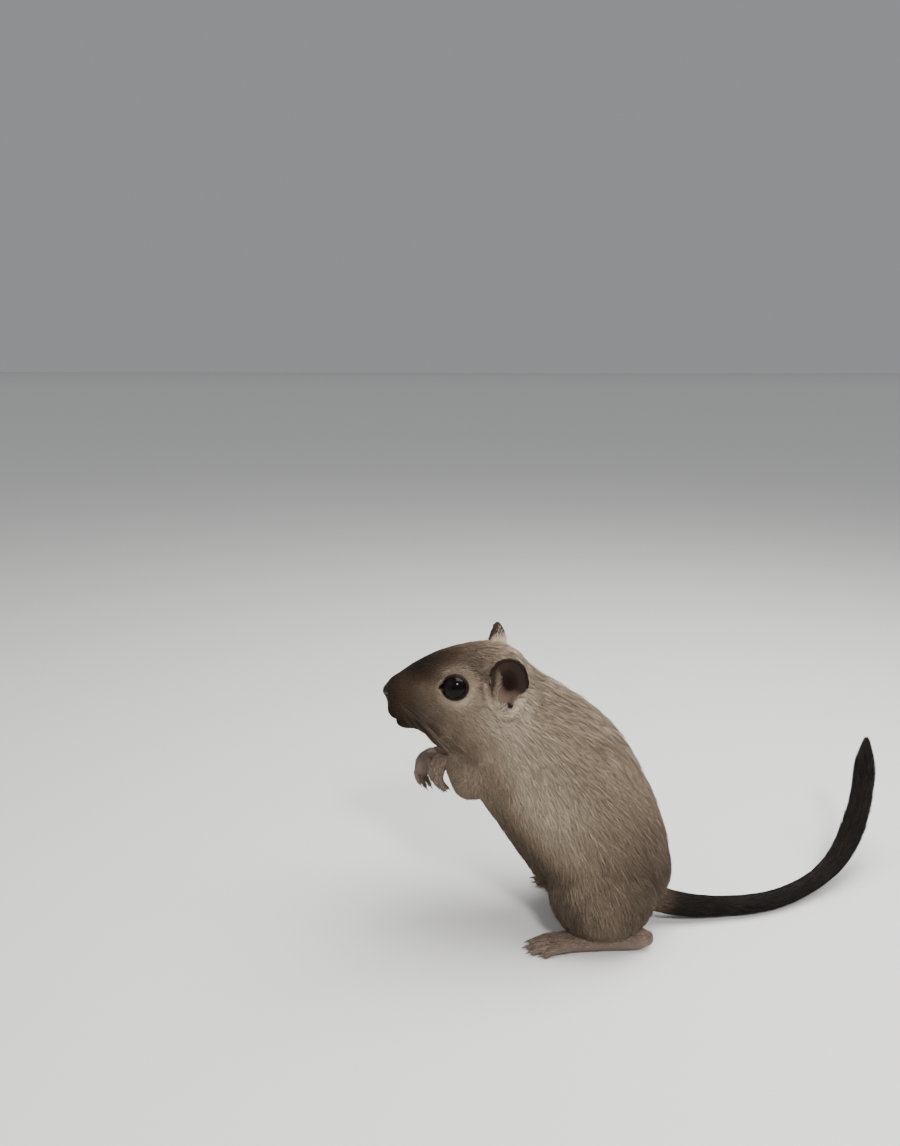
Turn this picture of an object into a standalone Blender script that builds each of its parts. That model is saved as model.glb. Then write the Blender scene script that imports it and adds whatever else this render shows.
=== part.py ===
"""A Mongolian gerbil, life size, reared up on its haunches: the solids of a still museum model.

The shapes are worked out in millimetres and brought to metres at the end. The animal faces -X,
its left side is towards -Y, and it rests on the floor at Z = 0. The solids have the outline of
the coat. One fused body is parted into head, neck, torso and thighs by thin gaps, and the ears,
eyes, forelegs, paws, hind feet and tail are set on it.
"""

import math

import bmesh
import bpy
import numpy as np
from mathutils import Matrix, Vector
from mathutils.bvhtree import BVHTree

MILLIMETRE = 0.001
GAP = 0.3

# The head is straight from its nose to the nape, turned and tipped a little to the animal's left.
NOSE_TIP = np.array([-57.1, -5.2, 65.5])
HEAD_TURN, HEAD_TIP = math.radians(9.0), math.radians(3.0)
UP = np.array([0.0, 0.0, 1.0])
LEVEL_LEFT = np.array([math.sin(HEAD_TURN), -math.cos(HEAD_TURN), 0.0])
HEAD_BACK = np.array([math.cos(HEAD_TURN), math.sin(HEAD_TURN), 0.0])
HEAD_LEFT = math.cos(HEAD_TIP) * LEVEL_LEFT - math.sin(HEAD_TIP) * UP
HEAD_UP = math.cos(HEAD_TIP) * UP + math.sin(HEAD_TIP) * LEVEL_LEFT

EYE_RADIUS = 3.5
EYE_PLACE = (18.4, 7.0, 3.2)
EYE_LOOKS = (-0.26, 0.93, 0.25)
LID_RADIUS, LID_THICKNESS, LID_RISE = 3.2, 0.6, 1.65

EAR_ROOT = (30.4, 13.1, -0.8)
EAR_HEIGHT, EAR_HALF_WIDTH, EAR_DEPTH, EAR_THICKNESS = 13.8, 4.9, 2.5, 0.8
EAR_LEANS_BACK, EAR_LEANS_OUT = math.radians(3), math.radians(6)
EAR_OPENS_FORWARD = {1: math.radians(16), -1: math.radians(60)}
EAR_ROUNDS, EAR_POINTS_ROUND = (0.02, 0.3, 0.55, 0.76, 0.91, 1.0), 18
EAR_ROOM = 0.5

# The trunk runs from the rump up to the back of the head.
# Rows: centre x, y, z, half width, half depth at the back, half depth at the belly.
TRUNK = (
    (9.0, 0.0, 2.0, 9.0, 8.0, 7.0),
    (6.5, 0.0, 7.0, 15.5, 14.6, 13.5),
    (3.5, 0.0, 14.0, 19.0, 17.6, 17.5),
    (-3.0, 0.0, 27.0, 20.6, 20.3, 20.1),
    (-13.0, 0.0, 42.0, 19.4, 21.6, 20.2),
    (-24.0, -0.4, 55.0, 16.2, 17.6, 18.8),
    (-32.0, -1.2, 61.5, 12.8, 14.6, 14.5),
    (-38.5, -2.2, 66.0, 7.0, 7.0, 7.5),
)
TRUNK_RINGS, TRUNK_SIDES = 40, 40
HEAD_TRIANGLES, DRESSED_HEAD_TRIANGLES = 2200, 3200
NECK_TRIANGLES, TORSO_TRIANGLES, THIGH_TRIANGLES = 480, 2000, 440
FORELEG_TRIANGLES, PAW_TRIANGLES, FOOT_TRIANGLES = 400, 500, 820

# The head, in its own axes. Rows: distance behind the nose tip, top, bottom, half width.
HEAD = (
    (0.9, 1.9, -2.5, 2.5),
    (2.7, 3.7, -6.3, 4.0),
    (5.0, 5.3, -8.6, 5.0),
    (8.0, 7.3, -10.6, 6.1),
    (13.3, 10.0, -14.0, 8.5),
    (19.2, 12.0, -17.2, 10.6),
    (25.6, 13.2, -19.0, 12.0),
    (32.0, 12.8, -20.0, 12.6),
    (38.0, 9.4, -19.0, 12.2),
)
HEAD_RINGS, HEAD_SIDES = 34, 36

# Fullnesses laid over the head, mirrored: place behind, to the side of and above the nose tip, and radii.
NOSE_PAD = ((1.3, 0.0, -0.2), (1.7, 2.1, 1.7))
WHISKER_PAD = ((5.0, 2.9, -3.9), (4.2, 2.9, 3.4))
CHIN = ((6.6, 0.0, -8.6), (3.6, 3.0, 2.3))
CHEEK = ((22.0, 4.2, -8.4), (12.0, 6.0, 8.4))
BROW = ((19.0, 4.4, 4.4), (8.0, 4.4, 4.2))

# Cut into the muzzle: the nostrils, the cleft under the nose and the mouth that bows up in its middle.
NOSTRIL = ((0.55, 1.3, -0.75), (1.35, 0.5, 0.75))
CLEFT_HEIGHTS, CLEFT_RADIUS = (-1.9, -3.0, -4.2, -5.4), 0.42
MOUTH_FRONT, MOUTH_LENGTH, MOUTH_HALF_WIDTH = 2.2, 7.4, 6.4
MOUTH_HEIGHT, MOUTH_BOW, MOUTH_RADIUS = -7.2, 0.9, 0.5

# Thigh and shoulder, mirrored: centre and radii.
THIGH = ((0.4, 13.4, 13.8), (14.8, 9.4, 13.4))
SHOULDER = ((-25.0, 9.0, 48.0), (10.0, 8.0, 12.5))
THIGH_PARTING = ((-0.2, 19.4, 12.6), (14.6, 10.6, 12.4))

# The head is parted from the neck by an oval round it, and the neck from the torso by a plane.
HEAD_PARTING = ((13.0, 0.0, 4.5), (26.5, 26.0, 21.0))
NECK_ENDS, NECK_ENDS_ALONG = (-26.5, 0.0, 54.5), (0.575, 0.0, -0.818)

# Left foreleg from the shoulder by the elbow to the wrist. Rows: centre and radius.
FORELEG = (
    (-24.0, -5.5, 51.0, 6.5),
    (-29.5, -11.0, 45.4, 5.3),
    (-34.0, -12.4, 43.2, 4.2),
    (-36.6, -10.4, 45.0, 3.3),
    (-38.8, -7.8, 47.0, 2.4),
)
PALM = (
    (-39.0, -7.6, 47.3, 2.0),
    (-41.2, -7.0, 47.2, 2.3),
    (-42.7, -6.7, 45.4, 2.7),
    (-43.1, -6.6, 43.3, 2.6),
)
PALM_FLATNESS, HAND_TURN = 0.68, math.radians(42.0)
FINGER_LENGTHS = (3.9, 4.8, 4.7, 3.7)
FINGER_SPACING, FINGER_CURL = 1.25, 0.42
FINGER_RADIUS = 0.78
FINGER_CLAW = 1.5
RIGHT_HAND_SHIFT = (-5.0, 0.3, -4.2)

# Left hind foot, from the heel to the roots of the toes. Rows: centre, half width, half height.
HIND_FOOT = (
    (12.2, -14.2, 2.9, 1.6, 1.9),
    (9.4, -14.4, 3.1, 2.5, 3.0),
    (2.0, -14.9, 3.0, 2.9, 3.2),
    (-5.0, -15.6, 2.5, 3.2, 2.7),
    (-10.0, -16.2, 2.0, 3.5, 2.2),
)
TOE_ROOTS_X, TOE_ROOTS_Y, TOE_ROOTS_Z = -9.2, -16.2, 1.75
RIGHT_FOOT_BACK = 2.0
TOE_SPREAD = (-2.7, -1.45, -0.1, 1.3, 2.6)
TOE_LENGTHS = (5.2, 8.2, 9.0, 8.3, 5.8)
TOE_RADIUS = 0.95
TOE_CLAW = 2.2
FOOT_SPLAY = math.radians(7.0)

# The tail lies on the floor, sweeps to the animal's right and curls up. Rows: centre of its core.
TAIL_ROUTE = (
    (12.0, 0.0, 7.6),
    (19.0, 0.2, 5.4),
    (28.2, 1.6, 3.6),
    (42.7, 5.0, 2.85),
    (54.6, 10.8, 3.1),
    (66.5, 19.7, 5.4),
    (75.6, 30.0, 10.6),
    (82.2, 41.0, 20.2),
    (84.8, 48.4, 30.5),
)
TAIL_MID_STARTS, TAIL_BRUSH_STARTS = 0.32, 0.54
TAIL_BASE_RADII = (4.2, 3.7, 3.0, 3.0)
TAIL_RADIUS, TAIL_CORE_RADIUS = 3.0, 1.7
CORE_ENDS, LAST_LOCKS = 0.985, 0.955
LOCK_RINGS, LOCKS_PER_RING = 9, 6
LOCK_LENGTH, LOCK_HALF_WIDTH, LOCK_HALF_THICKNESS = 11.5, 1.35, 0.5
LOCK_LIFT = 2.1

FUR_BEIGE = (0.46, 0.37, 0.28)
FUR_DARK = (0.030, 0.022, 0.018)
EAR_SKIN = (0.16, 0.09, 0.07)
PAW_SKIN = (0.45, 0.30, 0.24)
EYE_BLACK = (0.006, 0.004, 0.004)


def material(name, colour, roughness, coat=0.0):
    """A plain finish of one colour."""
    made = bpy.data.materials.new(name)
    made.use_nodes = True
    shader = made.node_tree.nodes["Principled BSDF"]
    shader.inputs["Base Color"].default_value = (*colour, 1.0)
    shader.inputs["Roughness"].default_value = roughness
    shader.inputs["Metallic"].default_value = 0.0
    shader.inputs["Coat Weight"].default_value = coat
    made.diffuse_color = (*colour, 1.0)
    return made


def head_point(behind, left, above):
    """The point that lies so far behind, to the left of and above the tip of the nose."""
    return NOSE_TIP + behind * HEAD_BACK + left * HEAD_LEFT + above * HEAD_UP


def head_direction(behind, left, above):
    """A direction given in the head's own axes."""
    way = behind * HEAD_BACK + left * HEAD_LEFT + above * HEAD_UP
    return way / np.linalg.norm(way)


def mirrored(point, side):
    """The point on the left for side 1, or its match across the midplane for side -1."""
    return np.array([point[0], point[1] * side, point[2]])


def smooth_rows(rows, count):
    """Rows of numbers carried along a smooth curve that passes through each of them (Catmull-Rom)."""
    rows = np.asarray(rows, float)
    ends = np.vstack([2 * rows[0] - rows[1], rows, 2 * rows[-1] - rows[-2]])
    t = np.linspace(0, len(rows) - 1, count)
    i = np.minimum(t.astype(int), len(rows) - 2)
    u = (t - i)[:, None]
    a, b, c, d = ends[i], ends[i + 1], ends[i + 2], ends[i + 3]
    return 0.5 * (2 * b + (c - a) * u + (2 * a - 5 * b + 4 * c - d) * u**2 + (3 * b - a - 3 * c + d) * u**3)


def even_route(points, count):
    """Points at even distances along the smooth curve through the given ones."""
    fine = smooth_rows(points, 400)
    run = np.concatenate([[0], np.cumsum(np.linalg.norm(np.diff(fine, axis=0), axis=1))])
    wanted = np.linspace(0, run[-1], count)
    return np.stack([np.interp(wanted, run, fine[:, k]) for k in range(3)], axis=1)


def route_length(points):
    """The length of the smooth curve through the points."""
    return float(np.linalg.norm(np.diff(even_route(points, 401), axis=0), axis=1).sum())


def scene_object(name, points, faces):
    """An object of these points and faces, its faces turned to point outwards."""
    mesh = bpy.data.meshes.new(name)
    mesh.from_pydata([tuple(p) for p in points], [], [tuple(f) for f in faces])
    work = bmesh.new()
    work.from_mesh(mesh)
    bmesh.ops.remove_doubles(work, verts=work.verts, dist=0.0001)
    bmesh.ops.recalc_face_normals(work, faces=work.faces)
    work.to_mesh(mesh)
    work.free()
    obj = bpy.data.objects.new(name, mesh)
    bpy.context.scene.collection.objects.link(obj)
    return obj


def skin_rings(name, rings):
    """Closes a stack of rings of points with a fan at each end."""
    count, sides = rings.shape[:2]
    points = np.vstack([rings.reshape(-1, 3), rings[0].mean(axis=0), rings[-1].mean(axis=0)])
    first, last = count * sides, count * sides + 1
    faces = []
    for r in range(count - 1):
        for s in range(sides):
            n = (s + 1) % sides
            faces.append((r * sides + s, r * sides + n, (r + 1) * sides + n, (r + 1) * sides + s))
    for s in range(sides):
        n = (s + 1) % sides
        faces.append((first, n, s))
        faces.append((last, (count - 1) * sides + s, (count - 1) * sides + n))
    return scene_object(name, points, faces)


def frames_along(route, across):
    """For each point of a route, the direction to its side and the one square to both."""
    along = np.gradient(route, axis=0)
    along /= np.linalg.norm(along, axis=1)[:, None]
    side = across - along * (along @ across)[:, None]
    side /= np.linalg.norm(side, axis=1)[:, None]
    return along, side, np.cross(side, along)


def trunk_piece():
    """The trunk: ovals square to the spine, deeper at the back or the belly as the rows say."""
    rows = smooth_rows(TRUNK, TRUNK_RINGS)
    _, side, back = frames_along(rows[:, :3], np.array([0.0, 1.0, 0.0]))
    turn = np.linspace(0, 2 * math.pi, TRUNK_SIDES, endpoint=False)
    depth = np.where(np.sin(turn)[None, :] > 0, rows[:, 4:5], rows[:, 5:6])
    if back[TRUNK_RINGS // 2][0] < 0:
        back = -back
    rings = (
        rows[:, None, :3]
        + side[:, None, :] * (rows[:, 3:4] * np.cos(turn))[:, :, None]
        + back[:, None, :] * (depth * np.sin(turn))[:, :, None]
    )
    return skin_rings("trunk", rings)


def head_piece():
    """The head: ovals square to its axis, from the nose to inside the nape."""
    rows = smooth_rows(HEAD, HEAD_RINGS)
    turn = np.linspace(0, 2 * math.pi, HEAD_SIDES, endpoint=False)
    rings = np.empty((HEAD_RINGS, HEAD_SIDES, 3))
    for r, (behind, top, bottom, half_width) in enumerate(rows):
        middle, half = (top + bottom) / 2, (top - bottom) / 2
        for s, angle in enumerate(turn):
            rings[r, s] = head_point(behind, half_width * math.cos(angle), middle + half * math.sin(angle))
    return skin_rings("skull", rings)


def tube(name, rows, sides=12, flatness=1.0, across=(0.0, 1.0, 0.0), rings=14):
    """A tube with round ends along rows of centre and radius; flatness is its depth for its width."""
    rows = smooth_rows(rows, rings)
    along, side, up = frames_along(rows[:, :3], np.asarray(across, float))
    turn = np.linspace(0, 2 * math.pi, sides, endpoint=False)
    caps = []
    for share in (0.95, 0.75, 0.45):
        caps.append((share, math.sqrt(1 - share**2)))
    stack = []
    for share, size in caps:
        stack.append((rows[0, :3] - along[0] * rows[0, 3] * share, side[0], up[0], rows[0, 3] * size))
    for r in range(rings):
        stack.append((rows[r, :3], side[r], up[r], rows[r, 3]))
    for share, size in reversed(caps):
        stack.append((rows[-1, :3] + along[-1] * rows[-1, 3] * share, side[-1], up[-1], rows[-1, 3] * size))
    made = np.array(
        [[c + s * r * math.cos(a) + u * r * flatness * math.sin(a) for a in turn] for c, s, u, r in stack]
    )
    return skin_rings(name, made)


def ball(name, centre, radii, axes=None, segments=20, rings=12):
    """An ellipsoid with its radii along the given axes, or along X, Y and Z."""
    mesh = bpy.data.meshes.new(name)
    work = bmesh.new()
    bmesh.ops.create_uvsphere(work, u_segments=segments, v_segments=rings, radius=1.0)
    place = Matrix.Identity(4)
    for k in range(3):
        axis = np.eye(3)[k] if axes is None else axes[k]
        for row in range(3):
            place[row][k] = axis[row] * radii[k]
        place[k][3] = centre[k]
    bmesh.ops.transform(work, matrix=place, verts=work.verts)
    bmesh.ops.recalc_face_normals(work, faces=work.faces)
    work.to_mesh(mesh)
    work.free()
    obj = bpy.data.objects.new(name, mesh)
    bpy.context.scene.collection.objects.link(obj)
    return obj


def head_ball(name, form, side):
    """An ellipsoid given in the head's own axes, on its left for side 1 or its right for side -1."""
    (behind, left, above), radii = form
    return ball(name, head_point(behind, left * side, above), radii, (HEAD_BACK, HEAD_LEFT, HEAD_UP))


def apply_modifiers(obj):
    """Replaces the object's mesh by what its modifiers make of it."""
    graph = bpy.context.evaluated_depsgraph_get()
    mesh = bpy.data.meshes.new_from_object(obj.evaluated_get(graph))
    obj.modifiers.clear()
    obj.data = mesh


def join(name, pieces):
    """One object that holds all the pieces' faces."""
    work = bmesh.new()
    for piece in pieces:
        work.from_mesh(piece.data)
        bpy.data.objects.remove(piece)
    mesh = bpy.data.meshes.new(name)
    work.to_mesh(mesh)
    work.free()
    obj = bpy.data.objects.new(name, mesh)
    bpy.context.scene.collection.objects.link(obj)
    return obj


def thin(obj, triangles):
    """Brings the object down to about so many triangles."""
    obj.data.calc_loop_triangles()
    fewer = obj.modifiers.new("thin", "DECIMATE")
    fewer.ratio = min(1.0, triangles / len(obj.data.loop_triangles))
    fewer.use_collapse_triangulate = True
    apply_modifiers(obj)
    return obj


def fuse(name, pieces, voxel, smoothing, triangles):
    """Melts overlapping pieces into one soft closed surface of about so many triangles."""
    obj = join(name, pieces)
    remesh = obj.modifiers.new("fuse", "REMESH")
    remesh.mode = "VOXEL"
    remesh.voxel_size = voxel
    soften = obj.modifiers.new("soften", "SMOOTH")
    soften.factor = 0.5
    soften.iterations = smoothing
    apply_modifiers(obj)
    return thin(obj, triangles)


def keep_largest(obj):
    """Drops every loose scrap and inner shell, and keeps the largest closed surface."""
    work = bmesh.new()
    work.from_mesh(obj.data)
    unseen = set(work.verts)
    shells = []
    while unseen:
        reached = [unseen.pop()]
        shell = []
        while reached:
            vertex = reached.pop()
            shell.append(vertex)
            for edge in vertex.link_edges:
                other = edge.other_vert(vertex)
                if other in unseen:
                    unseen.discard(other)
                    reached.append(other)
        shells.append(shell)

    def size(shell):
        """The length of the diagonal of a shell's box."""
        places = np.array([v.co for v in shell])
        return float(np.linalg.norm(places.max(axis=0) - places.min(axis=0)))

    shells.sort(key=size)
    for shell in shells[:-1]:
        bmesh.ops.delete(work, geom=shell, context="VERTS")
    work.to_mesh(obj.data)
    work.free()


def combine(obj, other, operation, solver="EXACT"):
    """Joins another object to this one, cuts it away or keeps what they share, and removes the other."""
    change = obj.modifiers.new("change", "BOOLEAN")
    change.operation = operation
    change.solver = solver
    change.object = other
    apply_modifiers(obj)
    bpy.data.objects.remove(other)
    return obj


def combine_all(obj, others, operation="UNION", solver="MANIFOLD"):
    """Joins a collection of closed objects to this one in a single union."""
    group = bpy.data.collections.new("pieces")
    bpy.context.scene.collection.children.link(group)
    for other in others:
        bpy.context.scene.collection.objects.unlink(other)
        group.objects.link(other)
    change = obj.modifiers.new("change", "BOOLEAN")
    change.operation = operation
    change.solver = solver
    change.operand_type = "COLLECTION"
    change.collection = group
    apply_modifiers(obj)
    for other in list(group.objects):
        bpy.data.objects.remove(other)
    bpy.data.collections.remove(group)
    return obj


def copy_of(obj, name="copy"):
    """A second object with a mesh of its own."""
    twin = bpy.data.objects.new(name, obj.data.copy())
    bpy.context.scene.collection.objects.link(twin)
    return twin


def swollen(obj, by):
    """A copy whose surface stands out from the original's by the given distance."""
    twin = copy_of(obj, "swollen")
    work = bmesh.new()
    work.from_mesh(twin.data)
    work.normal_update()
    moves = []
    for vertex in work.verts:
        spread = min((face.normal.dot(vertex.normal) for face in vertex.link_faces), default=1.0)
        moves.append(vertex.normal * by / max(0.5, spread))
    for vertex, move in zip(work.verts, moves):
        vertex.co += move
    work.to_mesh(twin.data)
    work.free()
    return twin


def set_on(obj, neighbour):
    """Cuts the object back to the thin gap that it keeps from its neighbour."""
    combine(obj, swollen(neighbour, GAP), "DIFFERENCE")
    keep_largest(obj)
    return obj


def half_space(point, away):
    """A large block whose one face passes through the point, with all of it on the side that away gives."""
    reach = 200.0
    away = Vector(away).normalized()
    place = away.to_track_quat("Z", "Y").to_matrix().to_4x4()
    place.translation = Vector(point) + away * reach / 2
    mesh = bpy.data.meshes.new("block")
    work = bmesh.new()
    bmesh.ops.create_cube(work, size=reach, matrix=place)
    work.to_mesh(mesh)
    work.free()
    obj = bpy.data.objects.new("block", mesh)
    bpy.context.scene.collection.objects.link(obj)
    return obj


def flatten_underside(obj):
    """Cuts away what would lie below the floor, which leaves a small flat."""
    combine(obj, half_space((0.0, 0.0, 0.0), (0.0, 0.0, -1.0)), "DIFFERENCE")
    keep_largest(obj)


def surface_route(obj, points, lift):
    """The points brought to the object's surface and lifted off it by a distance."""
    tree = BVHTree.FromPolygons([v.co for v in obj.data.vertices], [p.vertices for p in obj.data.polygons])
    placed = []
    for point in points:
        place, normal, _, _ = tree.find_nearest(Vector(point))
        placed.append(np.array(place + normal * lift))
    return placed


def groove(obj, points, radius, across):
    """Cuts a shallow round groove into the surface along the points; across is a way square to it."""
    route = surface_route(obj, points, radius * 0.2)
    rows = [(*place, radius) for place in route]
    combine(obj, tube("groove", rows, sides=7, rings=len(rows) + 3, across=across), "DIFFERENCE")


def whole_body():
    """Trunk, head, cheeks, thighs and shoulders melted into one surface."""
    pieces = [trunk_piece(), head_piece(), head_ball("nose_pad", NOSE_PAD, 1), head_ball("chin", CHIN, 1)]
    for side in (1, -1):
        pieces.append(head_ball("whisker_pad", WHISKER_PAD, side))
        pieces.append(head_ball("cheek", CHEEK, side))
        pieces.append(head_ball("brow", BROW, side))
        for centre, radii in (THIGH, SHOULDER):
            pieces.append(ball("fullness", mirrored(centre, side), radii))
    body = fuse("body", pieces, voxel=0.55, smoothing=14, triangles=14000)
    flatten_underside(body)
    return body


def eye_frame(side):
    """The eye's centre and its axes: outwards, backwards and upwards."""
    behind, left, above = EYE_PLACE
    out = head_direction(EYE_LOOKS[0], EYE_LOOKS[1] * side, EYE_LOOKS[2])
    back = HEAD_BACK - out * (HEAD_BACK @ out)
    back /= np.linalg.norm(back)
    up = np.cross(out, back)
    if up[2] < 0:
        up = -up
    return head_point(behind, left * side, above), out, back, up


def lid_ring(side):
    """The rim of the lids: a ring a little longer than it is high, drawn to a point at its front."""
    centre, out, back, up = eye_frame(side)
    count, sides = 28, 8
    rings = []
    for t in np.linspace(0, 2 * math.pi, count, endpoint=False):
        along, high = math.cos(t), math.sin(t)
        point_at_front = 0.35 * max(0.0, -along) ** 6
        spoke = back * along * (1.03 + point_at_front) + up * high * 0.95
        spoke /= np.linalg.norm(spoke)
        reach = LID_RADIUS * math.hypot(along * (1.03 + point_at_front), high * 0.95)
        middle = centre + out * LID_RISE + spoke * reach
        rings.append(
            [
                middle + LID_THICKNESS * (spoke * math.cos(a) + out * math.sin(a))
                for a in np.linspace(0, 2 * math.pi, sides, endpoint=False)
            ]
        )
    points = np.array(rings).reshape(-1, 3)
    faces = []
    for r in range(count):
        for s in range(sides):
            n, m = (r + 1) % count, (s + 1) % sides
            faces.append((r * sides + s, n * sides + s, n * sides + m, r * sides + m))
    return scene_object("lids", points, faces)


def dress_head(head):
    """Adds the lids and cuts the eye sockets, nostrils, cleft and mouth into the head."""
    for side in (1, -1):
        combine(head, lid_ring(side), "UNION")
    for side in (1, -1):
        centre, out, back, up = eye_frame(side)
        room = EYE_RADIUS + GAP
        socket = ball("socket", centre, (room, room, room), (back, up, out), segments=22, rings=12)
        combine(head, socket, "DIFFERENCE")
        slit = (
            head_direction(0.8, 0.5 * side, -0.35),
            head_direction(-0.5, 0.8 * side, 0.2),
            head_direction(0.2, 0.2 * side, 0.9),
        )
        (behind, left, above), radii = NOSTRIL
        nostril = ball("nostril", head_point(behind, left * side, above), radii, slit, 12, 8)
        combine(head, nostril, "DIFFERENCE")
    cleft = [head_point(-1.0, 0.0, above) for above in CLEFT_HEIGHTS]
    groove(head, cleft, CLEFT_RADIUS, HEAD_LEFT)
    lips = []
    for share in np.linspace(-1.0, 1.0, 13):
        behind = MOUTH_FRONT + MOUTH_LENGTH * abs(share) ** 1.2
        above = MOUTH_HEIGHT + MOUTH_BOW * math.cos(math.pi * share)
        lips.append(head_point(behind, MOUTH_HALF_WIDTH * share, above))
    groove(head, lips, MOUTH_RADIUS, HEAD_UP)
    keep_largest(head)
    return head


def part_body(body):
    """Parts the whole body into head, neck, torso and thighs, with a thin gap at each parting."""
    head = copy_of(body, "head")
    combine(head, head_ball("parting", HEAD_PARTING, 1), "INTERSECT")
    keep_largest(head)
    thin(head, HEAD_TRIANGLES)

    wider = (HEAD_PARTING[0], tuple(radius + GAP for radius in HEAD_PARTING[1]))
    shoulders, down = np.array(NECK_ENDS), np.array(NECK_ENDS_ALONG)
    neck = copy_of(body, "neck")
    combine(neck, half_space(shoulders, down), "DIFFERENCE")
    combine(neck, head_ball("parting", wider, 1), "DIFFERENCE")
    keep_largest(neck)
    thin(neck, NECK_TRIANGLES)

    torso = copy_of(body, "torso")
    combine(torso, half_space(shoulders + down * GAP, -down), "DIFFERENCE")
    combine(torso, head_ball("parting", wider, 1), "DIFFERENCE")
    thighs = {}
    for name, side in (("left", -1), ("right", 1)):
        centre, radii = THIGH_PARTING
        place = mirrored(centre, side)
        thigh = copy_of(body, f"thigh_{name}")
        combine(thigh, ball("parting", place, radii, segments=24, rings=14), "INTERSECT")
        keep_largest(thigh)
        thighs[name] = thin(thigh, THIGH_TRIANGLES)
        combine(torso, ball("parting", place, [r + GAP for r in radii], segments=24, rings=14), "DIFFERENCE")
    keep_largest(torso)
    thin(torso, TORSO_TRIANGLES)
    return head, neck, torso, thighs


def ear_shape(angle, reach):
    """The bowl of an ear. angle goes round it, with 0 at its root, pi at its tip and pi / 2 at the back,
    and reach is 0 at the deepest place and 1 on the rim. It gives the distances up, back and inwards."""
    across, high = math.sin(angle), 0.5 - 0.5 * math.cos(angle)
    rim_up = EAR_HEIGHT * high
    rim_back = EAR_HALF_WIDTH * across * (0.78 + 0.34 * high)
    front_fold = max(0.0, -across) * math.sin(math.pi * high) * (1.0 - high)
    deep = EAR_DEPTH * (1.0 - reach**2.4) - 0.5 * reach**8 + 1.1 * front_fold * reach**2
    up = EAR_HEIGHT * 0.44 + (rim_up - EAR_HEIGHT * 0.44) * reach
    return up, rim_back * reach, deep


def ear_cup(name, side):
    """The thin cup of an ear, closed round its rim, before it is set on the head."""
    behind, left, above = EAR_ROOT
    root = head_point(behind, left * side, above)
    forward = EAR_OPENS_FORWARD[side]
    upwards = head_direction(math.sin(EAR_LEANS_BACK), math.sin(EAR_LEANS_OUT) * side, math.cos(EAR_LEANS_OUT))
    opens = head_direction(-math.sin(forward), math.cos(forward) * side, 0.12)
    opens = opens - upwards * (opens @ upwards)
    opens /= np.linalg.norm(opens)
    backward = np.cross(upwards, opens) * side
    if backward @ HEAD_BACK < 0:
        backward = -backward
    angles = np.linspace(0, 2 * math.pi, EAR_POINTS_ROUND, endpoint=False)
    inner = np.empty((len(EAR_ROUNDS), EAR_POINTS_ROUND, 3))
    outer = np.empty_like(inner)
    for r, reach in enumerate(EAR_ROUNDS):
        for c, angle in enumerate(angles):
            up, back, deep = ear_shape(angle, reach)
            inner[r, c] = root + upwards * up + backward * back - opens * deep
            spread = backward * math.sin(angle) - upwards * math.cos(angle)
            slope = EAR_DEPTH * 2.4 * reach**1.4 / (0.5 * EAR_HEIGHT)
            away = spread * slope - opens
            outer[r, c] = inner[r, c] + away / np.linalg.norm(away) * EAR_THICKNESS
    return skin_rings(name, np.concatenate([inner, outer[::-1]]))


def make_room_for_ear(body, side):
    """Hollows the side of the head where the cup of the ear lies in it."""
    cup = ear_cup("cup", side)
    work = bmesh.new()
    for vertex in cup.data.vertices:
        work.verts.new(vertex.co)
    bmesh.ops.convex_hull(work, input=work.verts)
    loose = [vertex for vertex in work.verts if not vertex.link_faces]
    bmesh.ops.delete(work, geom=loose, context="VERTS")
    bmesh.ops.recalc_face_normals(work, faces=work.faces)
    work.to_mesh(cup.data)
    work.free()
    combine(body, swollen(cup, EAR_ROOM), "DIFFERENCE")
    bpy.data.objects.remove(cup)


def ear(name, side, body):
    """An ear, set on the head."""
    return set_on(ear_cup(name, side), body)


def eye(name, side):
    """An eyeball."""
    centre, out, back, up = eye_frame(side)
    radius = EYE_RADIUS
    return ball(name, centre, (radius, radius, radius), (back, up, out), segments=16, rings=9)


def claw(root, way, length, radius):
    """A claw: a short tapered cone that bends down at its tip."""
    way = np.asarray(way, float) / np.linalg.norm(way)
    side = np.cross(way, UP + 0.01 * way)
    side /= np.linalg.norm(side)
    up = np.cross(side, way)
    stack = []
    for share in (-0.4, 0.25, 0.7):
        middle = root + way * length * share - up * 0.3 * length * max(0.0, share) ** 2
        thick = radius * (1.0 - 0.55 * max(0.0, share))
        turn = np.linspace(0, 2 * math.pi, 5, endpoint=False)
        stack.append([middle + thick * (side * math.cos(a) + up * math.sin(a)) for a in turn])
    tip = root + way * length - up * 0.32 * length
    stack.append([tip + 0.02 * (point - middle) for point in stack[-1]])
    return skin_rings("claw", np.array(stack))


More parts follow.
